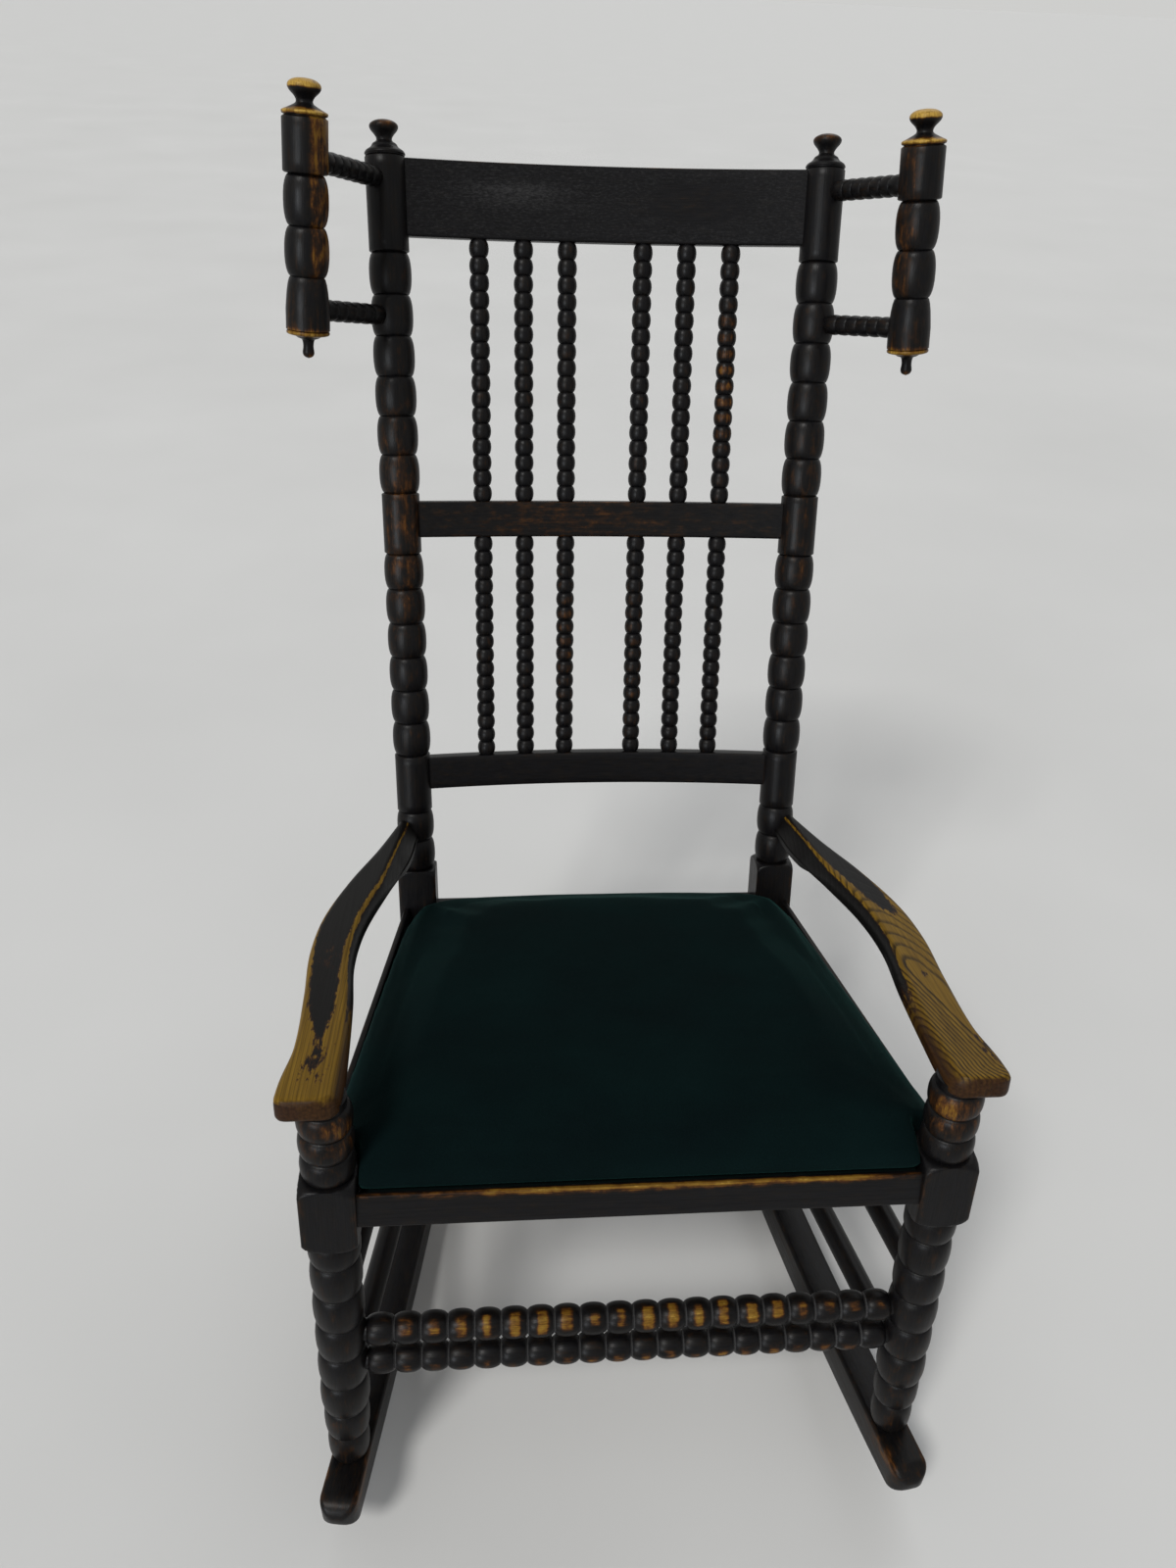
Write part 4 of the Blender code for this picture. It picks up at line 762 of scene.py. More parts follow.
def block(size, length, diameter, groove):
    """Square block below height 0, its corners turned to a rounded shoulder at both ends."""
    shoulder = (size * math.sqrt(2) - diameter) / 2 * 1.25
    rim = diameter / 2 - BLOCK_RIM
    corner = size / math.sqrt(2)
    turns = [math.pi / 2 * i / SHOULDER_STEPS for i in range(SHOULDER_STEPS + 1)]
    ends = [(rim + (corner - rim) * math.sin(t), shoulder * (1.0 - math.cos(t))) for t in turns]
    middle = [(corner, shoulder + (length - 2 * shoulder) * i / 6) for i in range(1, 6)]
    foot = [(radius, length - depth) for radius, depth in reversed(ends)]
    rows = [row(groove / 2, 0.0)]
    rows += [row(radius, -depth, 0.4, size / 2) for radius, depth in ends + middle + foot]
    return rows


def smooth_rows(points, steps=4):
    """Rows on a smooth curve through (radius, height) points."""
    spots = [Vector(point) for point in points]
    last = len(spots) - 1
    curved = []
    for i in range(last):
        start_slope = (spots[i + 1] - spots[max(i - 1, 0)]) / 2
        end_slope = (spots[min(i + 2, last)] - spots[i]) / 2
        curved += [curve(spots[i], spots[i + 1], start_slope, end_slope, k / steps) for k in range(steps)]
    return [row(max(spot.x, LEAST_RADIUS), spot.y, 0.8) for spot in curved + spots[-1:]]


def shaped(radius, top, height, shares):
    """Points (radius, height) from shares of a radius and of a height downwards."""
    return [(radius * wide, top - height * deep) for wide, deep in shares]


def knob(top, length, diameter, neck, neck_length):
    """Flattened ball on a waisted neck."""
    points = [(LEAST_RADIUS, top)] + shaped(diameter / 2, top, length, BALL)
    points += [(neck / 2 * 1.25, top - length * 0.96)]
    return smooth_rows(points + shaped(neck / 2, top - length, neck_length, WAIST))


# Axes and frames, as the CAD has them

def lean(side, rake, spread):
    return Vector((side * math.tan(spread), math.tan(rake), 1.0)).normalized()


def leg_up(side):
    return lean(side, LEG_RAKE, LEG_SPREAD)


def leg_point(side, height):
    return Vector((side * LEG_X, 0.0, LEG_TOP_Z)) + SHIFT + leg_up(side) * height


def post_up(side):
    return lean(side, POST_RAKE, POST_SPREAD)


def post_point(side, height):
    return Vector((side * POST_X, POST_Y, POST_TOP_Z)) + SHIFT + post_up(side) * height


def wing_up(side):
    return lean(side, WING_RAKE, WING_SPREAD)


def wing_point(side, height):
    x, y, z = WING_TOP
    return Vector((side * x, y, z - side * WING_SAG)) + SHIFT + wing_up(side) * height


def axis_at_height(point, direction, z):
    return point + direction * ((z - point.z) / direction.z)


POST_RINGS_TOP = POST_RINGS * POST_RING
LOWER_PLAIN_TOP = POST_RINGS_TOP + LOWER_PLAIN
LOWER_BOBBINS_TOP = LOWER_PLAIN_TOP + LOWER_BOBBINS * LOWER_BOBBIN
MIDDLE_PLAIN_TOP = LOWER_BOBBINS_TOP + MIDDLE_PLAIN
UPPER_BOBBINS_TOP = MIDDLE_PLAIN_TOP + UPPER_BOBBINS * UPPER_BOBBIN
TOP_PLAIN_TOP = UPPER_BOBBINS_TOP + TOP_PLAIN
SHOULDER_TOP = TOP_PLAIN_TOP + SHOULDER
POST_TOP = SHOULDER_TOP + FINIAL_NECK + FINIAL_KNOB
CAP_TOP = -WING_KNOB - WING_NECK
CYLINDER_TOP = CAP_TOP - WING_CAP
WING_BOBBINS_TOP = CYLINDER_TOP - WING_CYLINDER
WING_BLOCK_TOP = WING_BOBBINS_TOP - WING_BOBBINS * WING_BOBBIN
COLLAR_TOP = WING_BLOCK_TOP - WING_BLOCK
PEG_TOP = COLLAR_TOP - WING_COLLAR

# Back rails: height of the middle along the posts, and width
BACK_RAILS = {
    "crest_rail": ((UPPER_BOBBINS_TOP + TOP_PLAIN_TOP) / 2 + CREST_RISE, CREST_HEIGHT),
    "middle_rail": ((LOWER_BOBBINS_TOP + MIDDLE_PLAIN_TOP) / 2 + MIDDLE_RISE, MIDDLE_HEIGHT),
    "lower_rail": ((POST_RINGS_TOP + LOWER_PLAIN_TOP) / 2 + LOWER_RISE, LOWER_HEIGHT),
}


def back_frame(height):
    """Plane of the back: X across, Z up along the posts, Y backwards."""
    up = Vector((0.0, math.sin(POST_RAKE), math.cos(POST_RAKE)))
    base = Vector((0.0, POST_Y, POST_TOP_Z)) + SHIFT
    return frame_along(base + up * (height * post_up(1).dot(up)), up)


def bow(x, height):
    return RAIL_BOW * (1.0 - (x / post_point(1, height).x) ** 2)


def sloped_frame(height):
    """Plane with the seat's slope through a point of the legs' axes: X across, Y to the rear."""
    origin = leg_point(1, height)
    origin.x = 0.0
    return frame_along(origin, Vector((0.0, math.sin(SEAT_SLOPE), math.cos(SEAT_SLOPE))))


def crossing(plane, point, direction):
    """Where an axis crosses the plane of a frame, as (x, y) in that frame."""
    inverse = plane.inverted()
    start = inverse @ point
    run = inverse.to_3x3() @ direction
    spot = start - run * (start.z / run.z)
    return spot.x, spot.y


SEAT_FRAME = sloped_frame(-SEAT_DROP)
ARM_FRAME = sloped_frame(LEG_UPPER_RINGS * LEG_UPPER_RING)
ARM_FRAME = ARM_FRAME @ Matrix.Translation((0.0, 0.0, ARM_THICKNESS / 2))
LEG_SEAT_X, LEG_SEAT_Y = crossing(SEAT_FRAME, leg_point(1, 0.0), leg_up(1))
POST_SEAT_X, POST_SEAT_Y = crossing(SEAT_FRAME, post_point(1, 0.0), post_up(1))
FRONT_RAIL_Y = LEG_SEAT_Y - LEG_BLOCK / 2 + FRONT_RAIL_SETBACK
BACK_RAIL_Y = POST_SEAT_Y - POST_BLOCK / 2 + BACK_RAIL_SETBACK


def side_rail_x(y, offset):
    """Line beside the side rail's centre line, offset outwards, on the +X side."""
    front = LEG_SEAT_X + SIDE_RAIL_FRONT_OFFSET
    rear = POST_SEAT_X + SIDE_RAIL_REAR_OFFSET
    share = (y - LEG_SEAT_Y) / (POST_SEAT_Y - LEG_SEAT_Y)
    return front + (rear - front) * share + offset


def rocker_bottom(x):
    return ROCKER_RADIUS - math.sqrt(ROCKER_RADIUS ** 2 - x ** 2)


def rocker_depth(x):
    reach = ROCKER_FRONT if x < 0 else ROCKER_REAR
    return ROCKER_HEIGHT + (ROCKER_END_HEIGHT - ROCKER_HEIGHT) * (x / reach) ** 6


def level_run(front, rear):
    return Vector((rear.x - front.x, rear.y - front.y, 0.0)).normalized()


def feet(side):
    """Points where the leg's and the post's axes meet the top of their rocker."""
    contact = ROCKER_CONTACT_Y + SHIFT.y
    front_z = ROCKER_HEIGHT
    rear_z = ROCKER_HEIGHT
    for _ in range(8):
        front = axis_at_height(leg_point(side, 0.0), leg_up(side), front_z)
        rear = axis_at_height(post_point(side, 0.0), post_up(side), rear_z)
        run = level_run(front, rear)
        front_x = (front.y - contact) / run.y
        rear_x = (rear.y - contact) / run.y
        front_z = rocker_bottom(front_x) + rocker_depth(front_x)
        rear_z = rocker_bottom(rear_x) + rocker_depth(rear_x)
    return front, rear


LEG_FOOT = (feet(1)[0] - leg_point(1, 0.0)).length
POST_FOOT = (feet(1)[1] - post_point(1, 0.0)).length


# Wear of the turned pieces. The outward directions are x to the right, front towards the viewer, and up

def groove_dust(swell):
    """1 in the grooves of a turning, 0 on its bulges."""
    return 1.0 - step(swell, 0.10, 0.60)


def dark_wear(height, x, front, up, swell):
    return 0.04 + 0.10 * swell


def post_wear(side):
    """Backs rub the inner front of the posts; the left one has lost more of its black."""
    middle = MIDDLE_PLAIN_TOP - MIDDLE_PLAIN / 2
    knob_low = POST_TOP - FINIAL_KNOB * 0.8
    knob_high = POST_TOP - FINIAL_KNOB * 0.3

    def wear(height, x, front, up, swell):
        inner = step(front - 0.3 * side * x, -0.1, 0.8)
        rubbed = POST_RUBBED[side] * bump_at(height, middle, 0.115) * inner
        return 0.04 + 0.08 * swell + rubbed + 0.30 * step(height, knob_low, knob_high)
    return wear


def leg_wear(side):
    """Brown and golden streaks under the arm on the inner side, and brown ones down the front."""
    def wear(height, x, front, up, swell):
        inner = step(front - 1.1 * side * x, 0.95, 1.40)
        under_arm = UNDER_ARM_RUBBED[side] * step(height, 0.030, 0.050) * inner * swell
        red = 0.20 * step(height, -0.005, 0.05) * step(front, -0.1, 0.8)
        kicked = 0.10 * step(front, 0.2, 1.0) * step(-height, 0.12, 0.34)
        return 0.05 + 0.08 * swell + under_arm + red + kicked - 0.16 * groove_dust(swell)
    return wear


def wing_wear(side):
    """Hands hold the inner side, and the knob, cap, collar and peg are rubbed to the wood."""
    def wear(height, x, front, up, swell):
        held = step(-side * x + 0.10 * front, 0.24, 0.60)
        held = held * step(height, COLLAR_TOP + 0.025, COLLAR_TOP + 0.060) * (height < CYLINDER_TOP)
        rubbed = WING_HELD[side] * held * (0.75 + 0.25 * step(height, WING_BOBBINS_TOP, CYLINDER_TOP))
        scuffed = 0.16 * step(-height, -WING_BLOCK_TOP, -COLLAR_TOP) * (height > COLLAR_TOP)
        top = 0.96 * step(height, -WING_KNOB * 0.62, -WING_KNOB * 0.44)
        rim = 0.92 * bump_at(height, CAP_TOP - WING_CAP * 0.60, 0.0026)
        band = 0.70 * bump_at(height, COLLAR_TOP - WING_COLLAR * 0.28, 0.0030)
        tip = 0.46 * step(-height, WING_PEG * 0.45 - PEG_TOP, WING_PEG - PEG_TOP)
        return 0.05 + 0.08 * swell + rubbed + scuffed + top + rim + band + tip
    return wear


def spindle_wear(tier, number):
    """A few of the spindles are rubbed brown on their fronts, the others hardly at all."""
    centre, spread, amount = SPINDLE_RUBS.get((tier, number), SPINDLE_RUB_ELSEWHERE)

    def wear(height, x, front, up, swell):
        rubbed = amount * bump_at(height, centre, spread) * step(front, 0.0, 0.8) * step(swell, 0.5, 1.0)
        return 0.02 + 0.08 * swell + rubbed
    return wear


def stretcher_wear(level, length):
    """Heels have worn a golden patch on nearly every bead: on top of the upper row, in front on the lower."""
    strength = np.array(STRETCHER_RUBS[level])
    pitch = length / FRONT_BEADS
    tilt, reach, depth = STRETCHER_RUB_PLACE[level]
    draw = random.Random("rubs " + level)
    lots = np.array([[draw.uniform(-1.0, 1.0) for _ in range(4)] for _ in range(FRONT_BEADS)])

    def wear(height, x, front, up, swell):
        bead = np.clip((height / pitch).astype(int), 0, FRONT_BEADS - 1)
        amount = strength[bead]
        aside, lift, wide, tall = (lots[bead, k] for k in range(4))
        centred = np.abs((height / pitch) % 1.0 - 0.5 - 0.06 * aside) * 2.0
        centre = tilt + 0.14 * lift
        turn = np.arccos(np.clip(front * np.cos(centre) + up * np.sin(centre), -1.0, 1.0))
        half = reach * (0.45 + 0.55 * amount) * (1.0 + 0.22 * tall)
        edge = 0.42 + 0.12 * wide
        patch = 1.0 - step(turn, half - 0.22, half + 0.15)
        patch = patch * (1.0 - step(centred, edge - 0.19, edge + 0.16))
        rubbed = depth * (0.34 + 0.36 * amount) * patch * (amount > 0.05)
        between = (height > pitch / 2) & (height < length - pitch / 2)
        return 0.05 + 0.07 * swell + rubbed - 0.40 * groove_dust(swell) * between
    return wear


# Turned pieces

def leg_rows():
    """Heights from the top of the block."""
    top = LEG_UPPER_RINGS * LEG_UPPER_RING
    first = -LEG_BLOCK_LENGTH
    second = first - LEG_FIRST_BOBBIN
    foot_bobbin = second - LEG_BOBBINS * LEG_BOBBIN
    last = foot_bobbin - LEG_FOOT_BOBBIN
    size = (LEG_DIAMETER, LEG_GROOVE)
    foot_groove = LEG_FOOT_DIAMETER - (LEG_DIAMETER - LEG_GROOVE)
    rows = [row(LEG_GROOVE / 2, top + HIDDEN_RUN)]
    rows += bobbins(top, LEG_UPPER_RINGS, LEG_UPPER_RING, *size)
    rows += block(LEG_BLOCK, LEG_BLOCK_LENGTH, *size)
    rows += bobbins(first, 1, LEG_FIRST_BOBBIN, *size)
    rows += bobbins(second, LEG_BOBBINS, LEG_BOBBIN, *size)
    rows += bobbins(foot_bobbin, 1, LEG_FOOT_BOBBIN, (LEG_DIAMETER + LEG_FOOT_DIAMETER) / 2, LEG_GROOVE)
    rows += bobbins(last, 1, LEG_FOOT + last, LEG_FOOT_DIAMETER, foot_groove)
    return rows + [row(foot_groove / 2, -LEG_FOOT), row(foot_groove / 2, -LEG_FOOT - HIDDEN_RUN)]


def post_rows():
    """Heights from the top of the block."""
    size = (POST_DIAMETER, POST_GROOVE)
    rim = POST_PLAIN / 2
    neck = (FINIAL_NECK_DIAMETER / 2 * 1.6, SHOULDER_TOP - SHOULDER * 0.12)
    leg_top = -POST_BLOCK_LENGTH - POST_LEG_STEP
    rows = knob(POST_TOP, FINIAL_KNOB, FINIAL_KNOB_DIAMETER, FINIAL_NECK_DIAMETER, FINIAL_NECK)
    rows += smooth_rows([neck] + shaped(rim, SHOULDER_TOP, SHOULDER, POST_SHOULDER))
    rows += [row(rim - TOP_RIM / 2, TOP_PLAIN_TOP - TOP_RIM * 0.75, 0.2)]
    rows += plain(TOP_PLAIN_TOP - TOP_RIM, UPPER_BOBBINS_TOP, POST_PLAIN, POST_PLAIN - TOP_RIM)
    rows += bobbins(UPPER_BOBBINS_TOP, UPPER_BOBBINS, UPPER_BOBBIN, *size)
    rows += plain(MIDDLE_PLAIN_TOP, LOWER_BOBBINS_TOP, POST_PLAIN, POST_GROOVE)
    rows += bobbins(LOWER_BOBBINS_TOP, LOWER_BOBBINS, LOWER_BOBBIN, *size)
    rows += plain(LOWER_PLAIN_TOP, POST_RINGS_TOP, POST_PLAIN, POST_GROOVE)
    rows += bobbins(POST_RINGS_TOP, POST_RINGS, POST_RING, *size)
    rows += block(POST_BLOCK, POST_BLOCK_LENGTH, *size)
    rows += [row(POST_GROOVE / 2, -POST_BLOCK_LENGTH)]
    for share in np.linspace(0.0, 1.0, 13):
        width = POST_LEG_DIAMETER + (POST_FOOT_DIAMETER - POST_LEG_DIAMETER) * share
        rows.append(row(width / 2, leg_top - (POST_FOOT + leg_top) * share, 0.5))
    return rows + [row(POST_FOOT_DIAMETER / 2, -POST_FOOT - HIDDEN_RUN)]


def wing_rows():
    """Heights from the top of the knob."""
    body = WING_DIAMETER / 2
    peg = WING_PEG_DIAMETER / 2
    neck = (WING_NECK_DIAMETER / 2 * 1.7, CAP_TOP - WING_CAP * 0.10)
    size = (WING_DIAMETER, WING_GROOVE)
    rows = knob(0.0, WING_KNOB, WING_KNOB_DIAMETER, WING_NECK_DIAMETER, WING_NECK)
    rows += smooth_rows([neck] + shaped(body, CAP_TOP, WING_CAP, CAP))
    rows += [row(body - WING_RIM, CYLINDER_TOP)]
    rows += plain(CYLINDER_TOP - FIT, WING_BOBBINS_TOP, WING_DIAMETER, WING_DIAMETER - 2 * WING_RIM)
    rows += bobbins(WING_BOBBINS_TOP, WING_BOBBINS, WING_BOBBIN, *size)
    shoulder = bobbins(WING_BLOCK_TOP, 1, 2 * WING_BOBBIN, *size)
    rows += [item for item in shoulder if item[1] > WING_BLOCK_TOP - WING_BLOCK / 2]
    rows += [row(body, WING_BLOCK_TOP - WING_BLOCK * (0.6 + 0.39 * i / 5), 0.55) for i in range(6)]
    rows += [row(body - 0.0020, COLLAR_TOP)]
    points = shaped(body, COLLAR_TOP, WING_COLLAR, COLLAR) + [(peg * 1.7, COLLAR_TOP - WING_COLLAR * 0.82)]
    points += shaped(peg, PEG_TOP, WING_PEG, PEG) + [(LEAST_RADIUS, PEG_TOP - WING_PEG)]
    return rows + smooth_rows(points)


def bead_rows(length, beads, diameter, groove, rings=BEAD_RINGS, profile=BEAD_PROFILE):
    rows = [row(groove / 2 * 0.9, length + HIDDEN_RUN)]
    rows += bobbins(length, beads, length / beads, diameter, groove, rings, profile)
    return rows + [row(groove / 2, 0.0), row(groove / 2 * 0.9, -HIDDEN_RUN)]


def stick_rows(length, diameter):
    """Plain stick, a little fuller in the middle, as hand-shaved stretchers are."""
    rows = []
    for i in range(STICK_STEPS + 1):
        share = i / STICK_STEPS
        fullness = 0.955 + 0.045 * math.sin(math.pi * share)
        rows.append(row(diameter / 2 * fullness, length * (1.0 - share), 0.5))
    return rows


def clear_of(axis, radius, run, reach):
    """Distance from an axis at which a stick of half width reach clears its round piece."""
    run = run.normalized()
    return (radius + FIT + reach * abs(axis.dot(run))) / axis.cross(run).length


def span(start, end, start_inset, end_inset):
    run = (end - start).normalized()
    return start + run * start_inset, end - run * end_inset


def dress_front_stretcher(level):
    height = -LEG_BLOCK_LENGTH - LEG_FIRST_BOBBIN - (FRONT_STRETCHER_BOBBINS[level] - 0.5) * LEG_BOBBIN
    inset = clear_of(leg_up(1), LEG_DIAMETER / 2, WORLD_X, FRONT_BEAD_GROOVE / 2)
    start, end = span(leg_point(-1, height), leg_point(1, height), inset, inset)
    length = (end - start).length
    size = (FRONT_BEAD_DIAMETER, FRONT_BEAD_GROOVE)
    rows = bead_rows(length, FRONT_BEADS, *size, STRETCHER_RINGS, STRETCHER_PROFILE)
    wear = stretcher_wear(level, length)
    turned("front_stretcher_" + level, start, end - start, rows, round_angles(STRETCHER_SIDES), wear)


def dress_plain_stretcher(node, start, end, hint):
    rows = stick_rows((end - start).length, PLAIN_STRETCHER_DIAMETER)
    turned(node, start, end - start, rows, round_angles(STICK_SIDES), dark_wear, hint)


def dress_side_stretchers(name, side):
    insets = (LEG_DIAMETER / 2 - PLAIN_STRETCHER_SEAT, POST_FOOT_DIAMETER / 2 - PLAIN_STRETCHER_SEAT)
    for level, drop in SIDE_STRETCHER_DROP.items():
        front = leg_point(side, -drop)
        rear = axis_at_height(post_point(side, 0.0), post_up(side), front.z - SIDE_STRETCHER_FALL)
        node = "side_stretcher_" + level + "_" + name
        dress_plain_stretcher(node, *span(front, rear, *insets), WORLD_X)


def dress_back_stretcher():
    inset = POST_FOOT_DIAMETER / 2 - PLAIN_STRETCHER_SEAT
    ends = span(post_point(-1, -BACK_STRETCHER_DROP), post_point(1, -BACK_STRETCHER_DROP), inset, inset)
    dress_plain_stretcher("back_stretcher", *ends, WORLD_Y)


def dress_wing_spindle(node, side, post_height, wing_depth):
    post = post_point(side, post_height)
    wing = wing_point(side, -wing_depth)
    half = WING_SPINDLE_GROOVE / 2
    post_inset = clear_of(post_up(side), POST_DIAMETER / 2, wing - post, half)
    wing_inset = clear_of(wing_up(side), WING_DIAMETER / 2, wing - post, half)
    start, end = span(post, wing, post_inset, wing_inset)
    length = (end - start).length
    beads = round(length / WING_SPINDLE_PITCH)
    rows = bead_rows(length, beads, WING_SPINDLE_DIAMETER, WING_SPINDLE_GROOVE)
    turned(node, start, end - start, rows, round_angles(SPINDLE_SIDES), dark_wear)


def dress_spindles(tier, below, above):
    bottom = BACK_RAILS[below][0] + BACK_RAILS[below][1] / 2
    top = BACK_RAILS[above][0] - BACK_RAILS[above][1] / 2
    rows = bead_rows(top - bottom, SPINDLE_BEADS, SPINDLE_DIAMETER, SPINDLE_GROOVE)
    right = [SPINDLE_FIRST + i * SPINDLE_STEP for i in range(SPINDLES_A_SIDE)]
    for number, x in enumerate([-x for x in reversed(right)] + right, start=1):
        place = back_frame(bottom) @ Matrix.Translation((x, bow(x, (bottom + top) / 2), 0.0))
        node = tier + "_spindle_" + str(number)
        up = place.to_3x3() @ WORLD_Z
        turned(node, place.translation, up, rows, round_angles(SPINDLE_SIDES), spindle_wear(tier, number))


def dress_turned_pieces():
    lower_joint = UPPER_BOBBINS_TOP - 1.5 * UPPER_BOBBIN
    wing_angles = round_angles(WING_SIDES)
    for name, side in SIDES.items():
        for stem, point, up, rows, angles, wear in (
            ("front_leg_", leg_point, leg_up, leg_rows, BLOCK_ANGLES, leg_wear),
            ("rear_post_", post_point, post_up, post_rows, BLOCK_ANGLES, post_wear),
            ("wing_post_", wing_point, wing_up, wing_rows, wing_angles, wing_wear),
        ):
            turned(stem + name, point(side, 0.0), up(side), rows(), angles, wear(side))
        upper_joint = POST_TOP - POST_UPPER_JOINT
        dress_wing_spindle("wing_spindle_upper_" + name, side, upper_joint, WING_UPPER_JOINT)
        dress_wing_spindle("wing_spindle_lower_" + name, side, lower_joint, WING_LOWER_JOINT)
        dress_side_stretchers(name, side)
    for level in FRONT_STRETCHER_BOBBINS:
        dress_front_stretcher(level)
    dress_back_stretcher()
    dress_spindles("upper", "middle_rail", "crest_rail")
    dress_spindles("lower", "lower_rail", "middle_rail")


# Swept pieces: rails, arms and rockers

def fine_outline(corners, radii, splits, steps=3):
    """Outline of a polygon with rounded corners; splits gives the spans on the edge after each corner."""
    shares = [k / steps for k in range(steps + 1)]
    rounded = []
    for i, (corner, radius) in enumerate(zip(corners, radii)):
        corner = Vector(corner)
        before = (Vector(corners[i - 1]) - corner).normalized() * radius
        after = (Vector(corners[(i + 1) % len(corners)]) - corner).normalized() * radius
        rounded.append([corner + before * (1.0 - share) ** 2 + after * share ** 2 for share in shares])
    outline = []
    for i, spots in enumerate(rounded):
        ahead = rounded[(i + 1) % len(rounded)][0]
        outline += spots
        outline += [spots[-1].lerp(ahead, k / splits[i]) for k in range(1, splits[i])]
    return np.array(outline)


def box_corners(half_width, half_height):
    signs = ((-1, -1), (1, -1), (1, 1), (-1, 1))
    return [(half_width * a, half_height * b) for a, b in signs]


def box_section(half_width, half_height, radius):
    return fine_outline(box_corners(half_width, half_height), [radius] * 4, [1] * 4, 4)


def corner_draw(distance, radius):
    """How far a corner rounded in plan draws in at a distance from the end."""
    beyond = min(max(radius - distance, 0.0), radius)
    return radius - math.sqrt(radius ** 2 - beyond ** 2)


def rounded_ends(start, end, count, radius):
    """Places along a run and how far the section draws in there, for softly rounded ends."""
    turns = [math.pi / 2 * i / 4 for i in range(4)]
    places = [(start + radius * (1.0 - math.cos(t)), radius * (1.0 - math.sin(t))) for t in turns]
    inner = [(start + radius + (end - start - 2 * radius) * i / count, 0.0) for i in range(count + 1)]
    return places + inner + [(end - place + start, inset) for place, inset in reversed(places)]


def back_rail_wear(node, x, up, front):
    """Wear of a back rail, and on the crest rail a painted sheen; up and front run from -1 to 1 over its
    section.
    """
    arris = step(np.abs(up), 0.93, 1.0) * step(np.abs(front), 0.75, 0.98)
    face = step(front, 0.4, 0.9)
    if node == "crest_rail":
        top_edge = step(up, 0.965, 0.995) * step(front, -0.2, 0.6)
        gold = 0.62 * top_edge * (0.60 + 0.40 * np.sin(x * 37.0 - 0.8))
        scratched = 0.08 * bump_at(x, CREST_SCRATCH_X, 0.050) * bump_at(up, 0.20, 0.26) * face
        brown = 0.28 * bump_at(x, CREST_BROWN_X, 0.03) * bump_at(up, 0.1, 0.3) * face
        # The crest's base of -0.085 turns its whole face slightly grey: a painted sheen in place of reflected
        # light. The scratched place adds real dust.
        return -0.085 + gold + 0.20 * arris - scratched + brown
    if node == "middle_rail":
        return 0.13 + 0.17 * bump_at(x, -0.03, 0.10) * face + 0.34 * arris
    return 0.06 + 0.24 * arris


def dress_back_rail(node):
    centre, height = BACK_RAILS[node]
    half = post_point(1, centre).x - POST_PLAIN / 2 + BACK_RAIL_SEAT
    thick = BACK_RAIL_THICKNESS / 2
    back, up = fine_outline(box_corners(thick, height / 2), [BACK_RAIL_EASE] * 4, [2, 6, 2, 6]).T
    x = np.linspace(-half, half, BACK_RAIL_PLACES)[:, None]
    x, y, z = np.broadcast_arrays(x, bow(x, centre) + back, up)
    bare = back_rail_wear(node, x, z / (height / 2), -back / thick)
    dark_piece(node, back_frame(centre), np.stack([x, y, z], axis=-1), np.stack([y, z, x], axis=-1), bare)


def dress_seat_rail(kind):
    """Rail with a rebate for the seat; section points are (outwards, height) from the rail's middle."""
    half = RAIL_THICKNESS / 2
    lip = BACK_LIP if kind == "back" else REBATE_LIP
    corners = [
        (-half, -RAIL_HEIGHT), (half, -RAIL_HEIGHT), (half, 0.0), (half - lip, 0.0),
        (half - lip, -REBATE_DEPTH), (-half, -REBATE_DEPTH),
    ]
    out, z = fine_outline(corners, [RAIL_EASE] * 6, [1, 5, 3, 1, 1, 1]).T
    share = np.linspace(0.0, 1.0, SEAT_RAIL_PLACES)[:, None]
    if kind in SIDES:
        start = LEG_SEAT_Y + LEG_BLOCK / 2 - RAIL_SEAT
        end = POST_SEAT_Y - POST_BLOCK / 2 + RAIL_SEAT
        y = start + (end - start) * share
        x = SIDES[kind] * side_rail_x(y, out)
    else:
        reach = LEG_SEAT_X - LEG_BLOCK / 2 if kind == "front" else POST_SEAT_X - POST_BLOCK / 2
        x = (reach + RAIL_SEAT) * (2.0 * share - 1.0)
        y = FRONT_RAIL_Y + half - out if kind == "front" else BACK_RAIL_Y + half + out
    x, y, z, out = np.broadcast_arrays(x, y, z, out)
    along = y if kind in SIDES else x
    top_edge = step(z, -0.0030, -0.0012) * step(out, half - 0.0042, half - 0.0024)
    bare = 0.04 + 0.16 * top_edge
    if kind == "front":
        rubbed = 0.40 + 0.34 * step(along, -0.15, -0.10) * (1.0 - step(along, 0.14, 0.21))
        bare = 0.04 + rubbed * top_edge + 0.10 * step(-z, RAIL_HEIGHT - 0.003, RAIL_HEIGHT)
    points = np.stack([x, y, z], axis=-1)
    dark_piece("seat_rail_" + kind, SEAT_FRAME, points, np.stack([out, z, along], axis=-1), bare)


def arm_line(share):
    """Sideways swing and half width of the arm at a share of its length, rear to front."""
    knots = np.array(ARM_SHAPE)
    last = len(knots) - 1
    i = min(np.searchsorted(knots[:, 0], share, side="right") - 1, last - 1)
    before, start, end, after = knots[[max(i - 1, 0), i, i + 1, min(i + 2, last)]]
    gap = end[0] - start[0]
    start_slope = (end - before) / (end[0] - before[0]) * gap
    end_slope = (after - start) / (after[0] - start[0]) * gap
    _, swing, width = curve(start, end, start_slope, end_slope, (share - start[0]) / gap)
    return swing, width / 2


def arm_stain(share, inward, height):
    """Smooth brown on the sides near the front, where hands have held the arm's end."""
    half = ARM_THICKNESS / 2
    front = step(share, 0.66, 0.88)
    inner = 1.0 - step(inward, -0.0050, 0.0030)
    low = 1.0 - step(height, half - 0.0060, half - 0.0030)
    return 0.96 * np.maximum(inner, low) * front


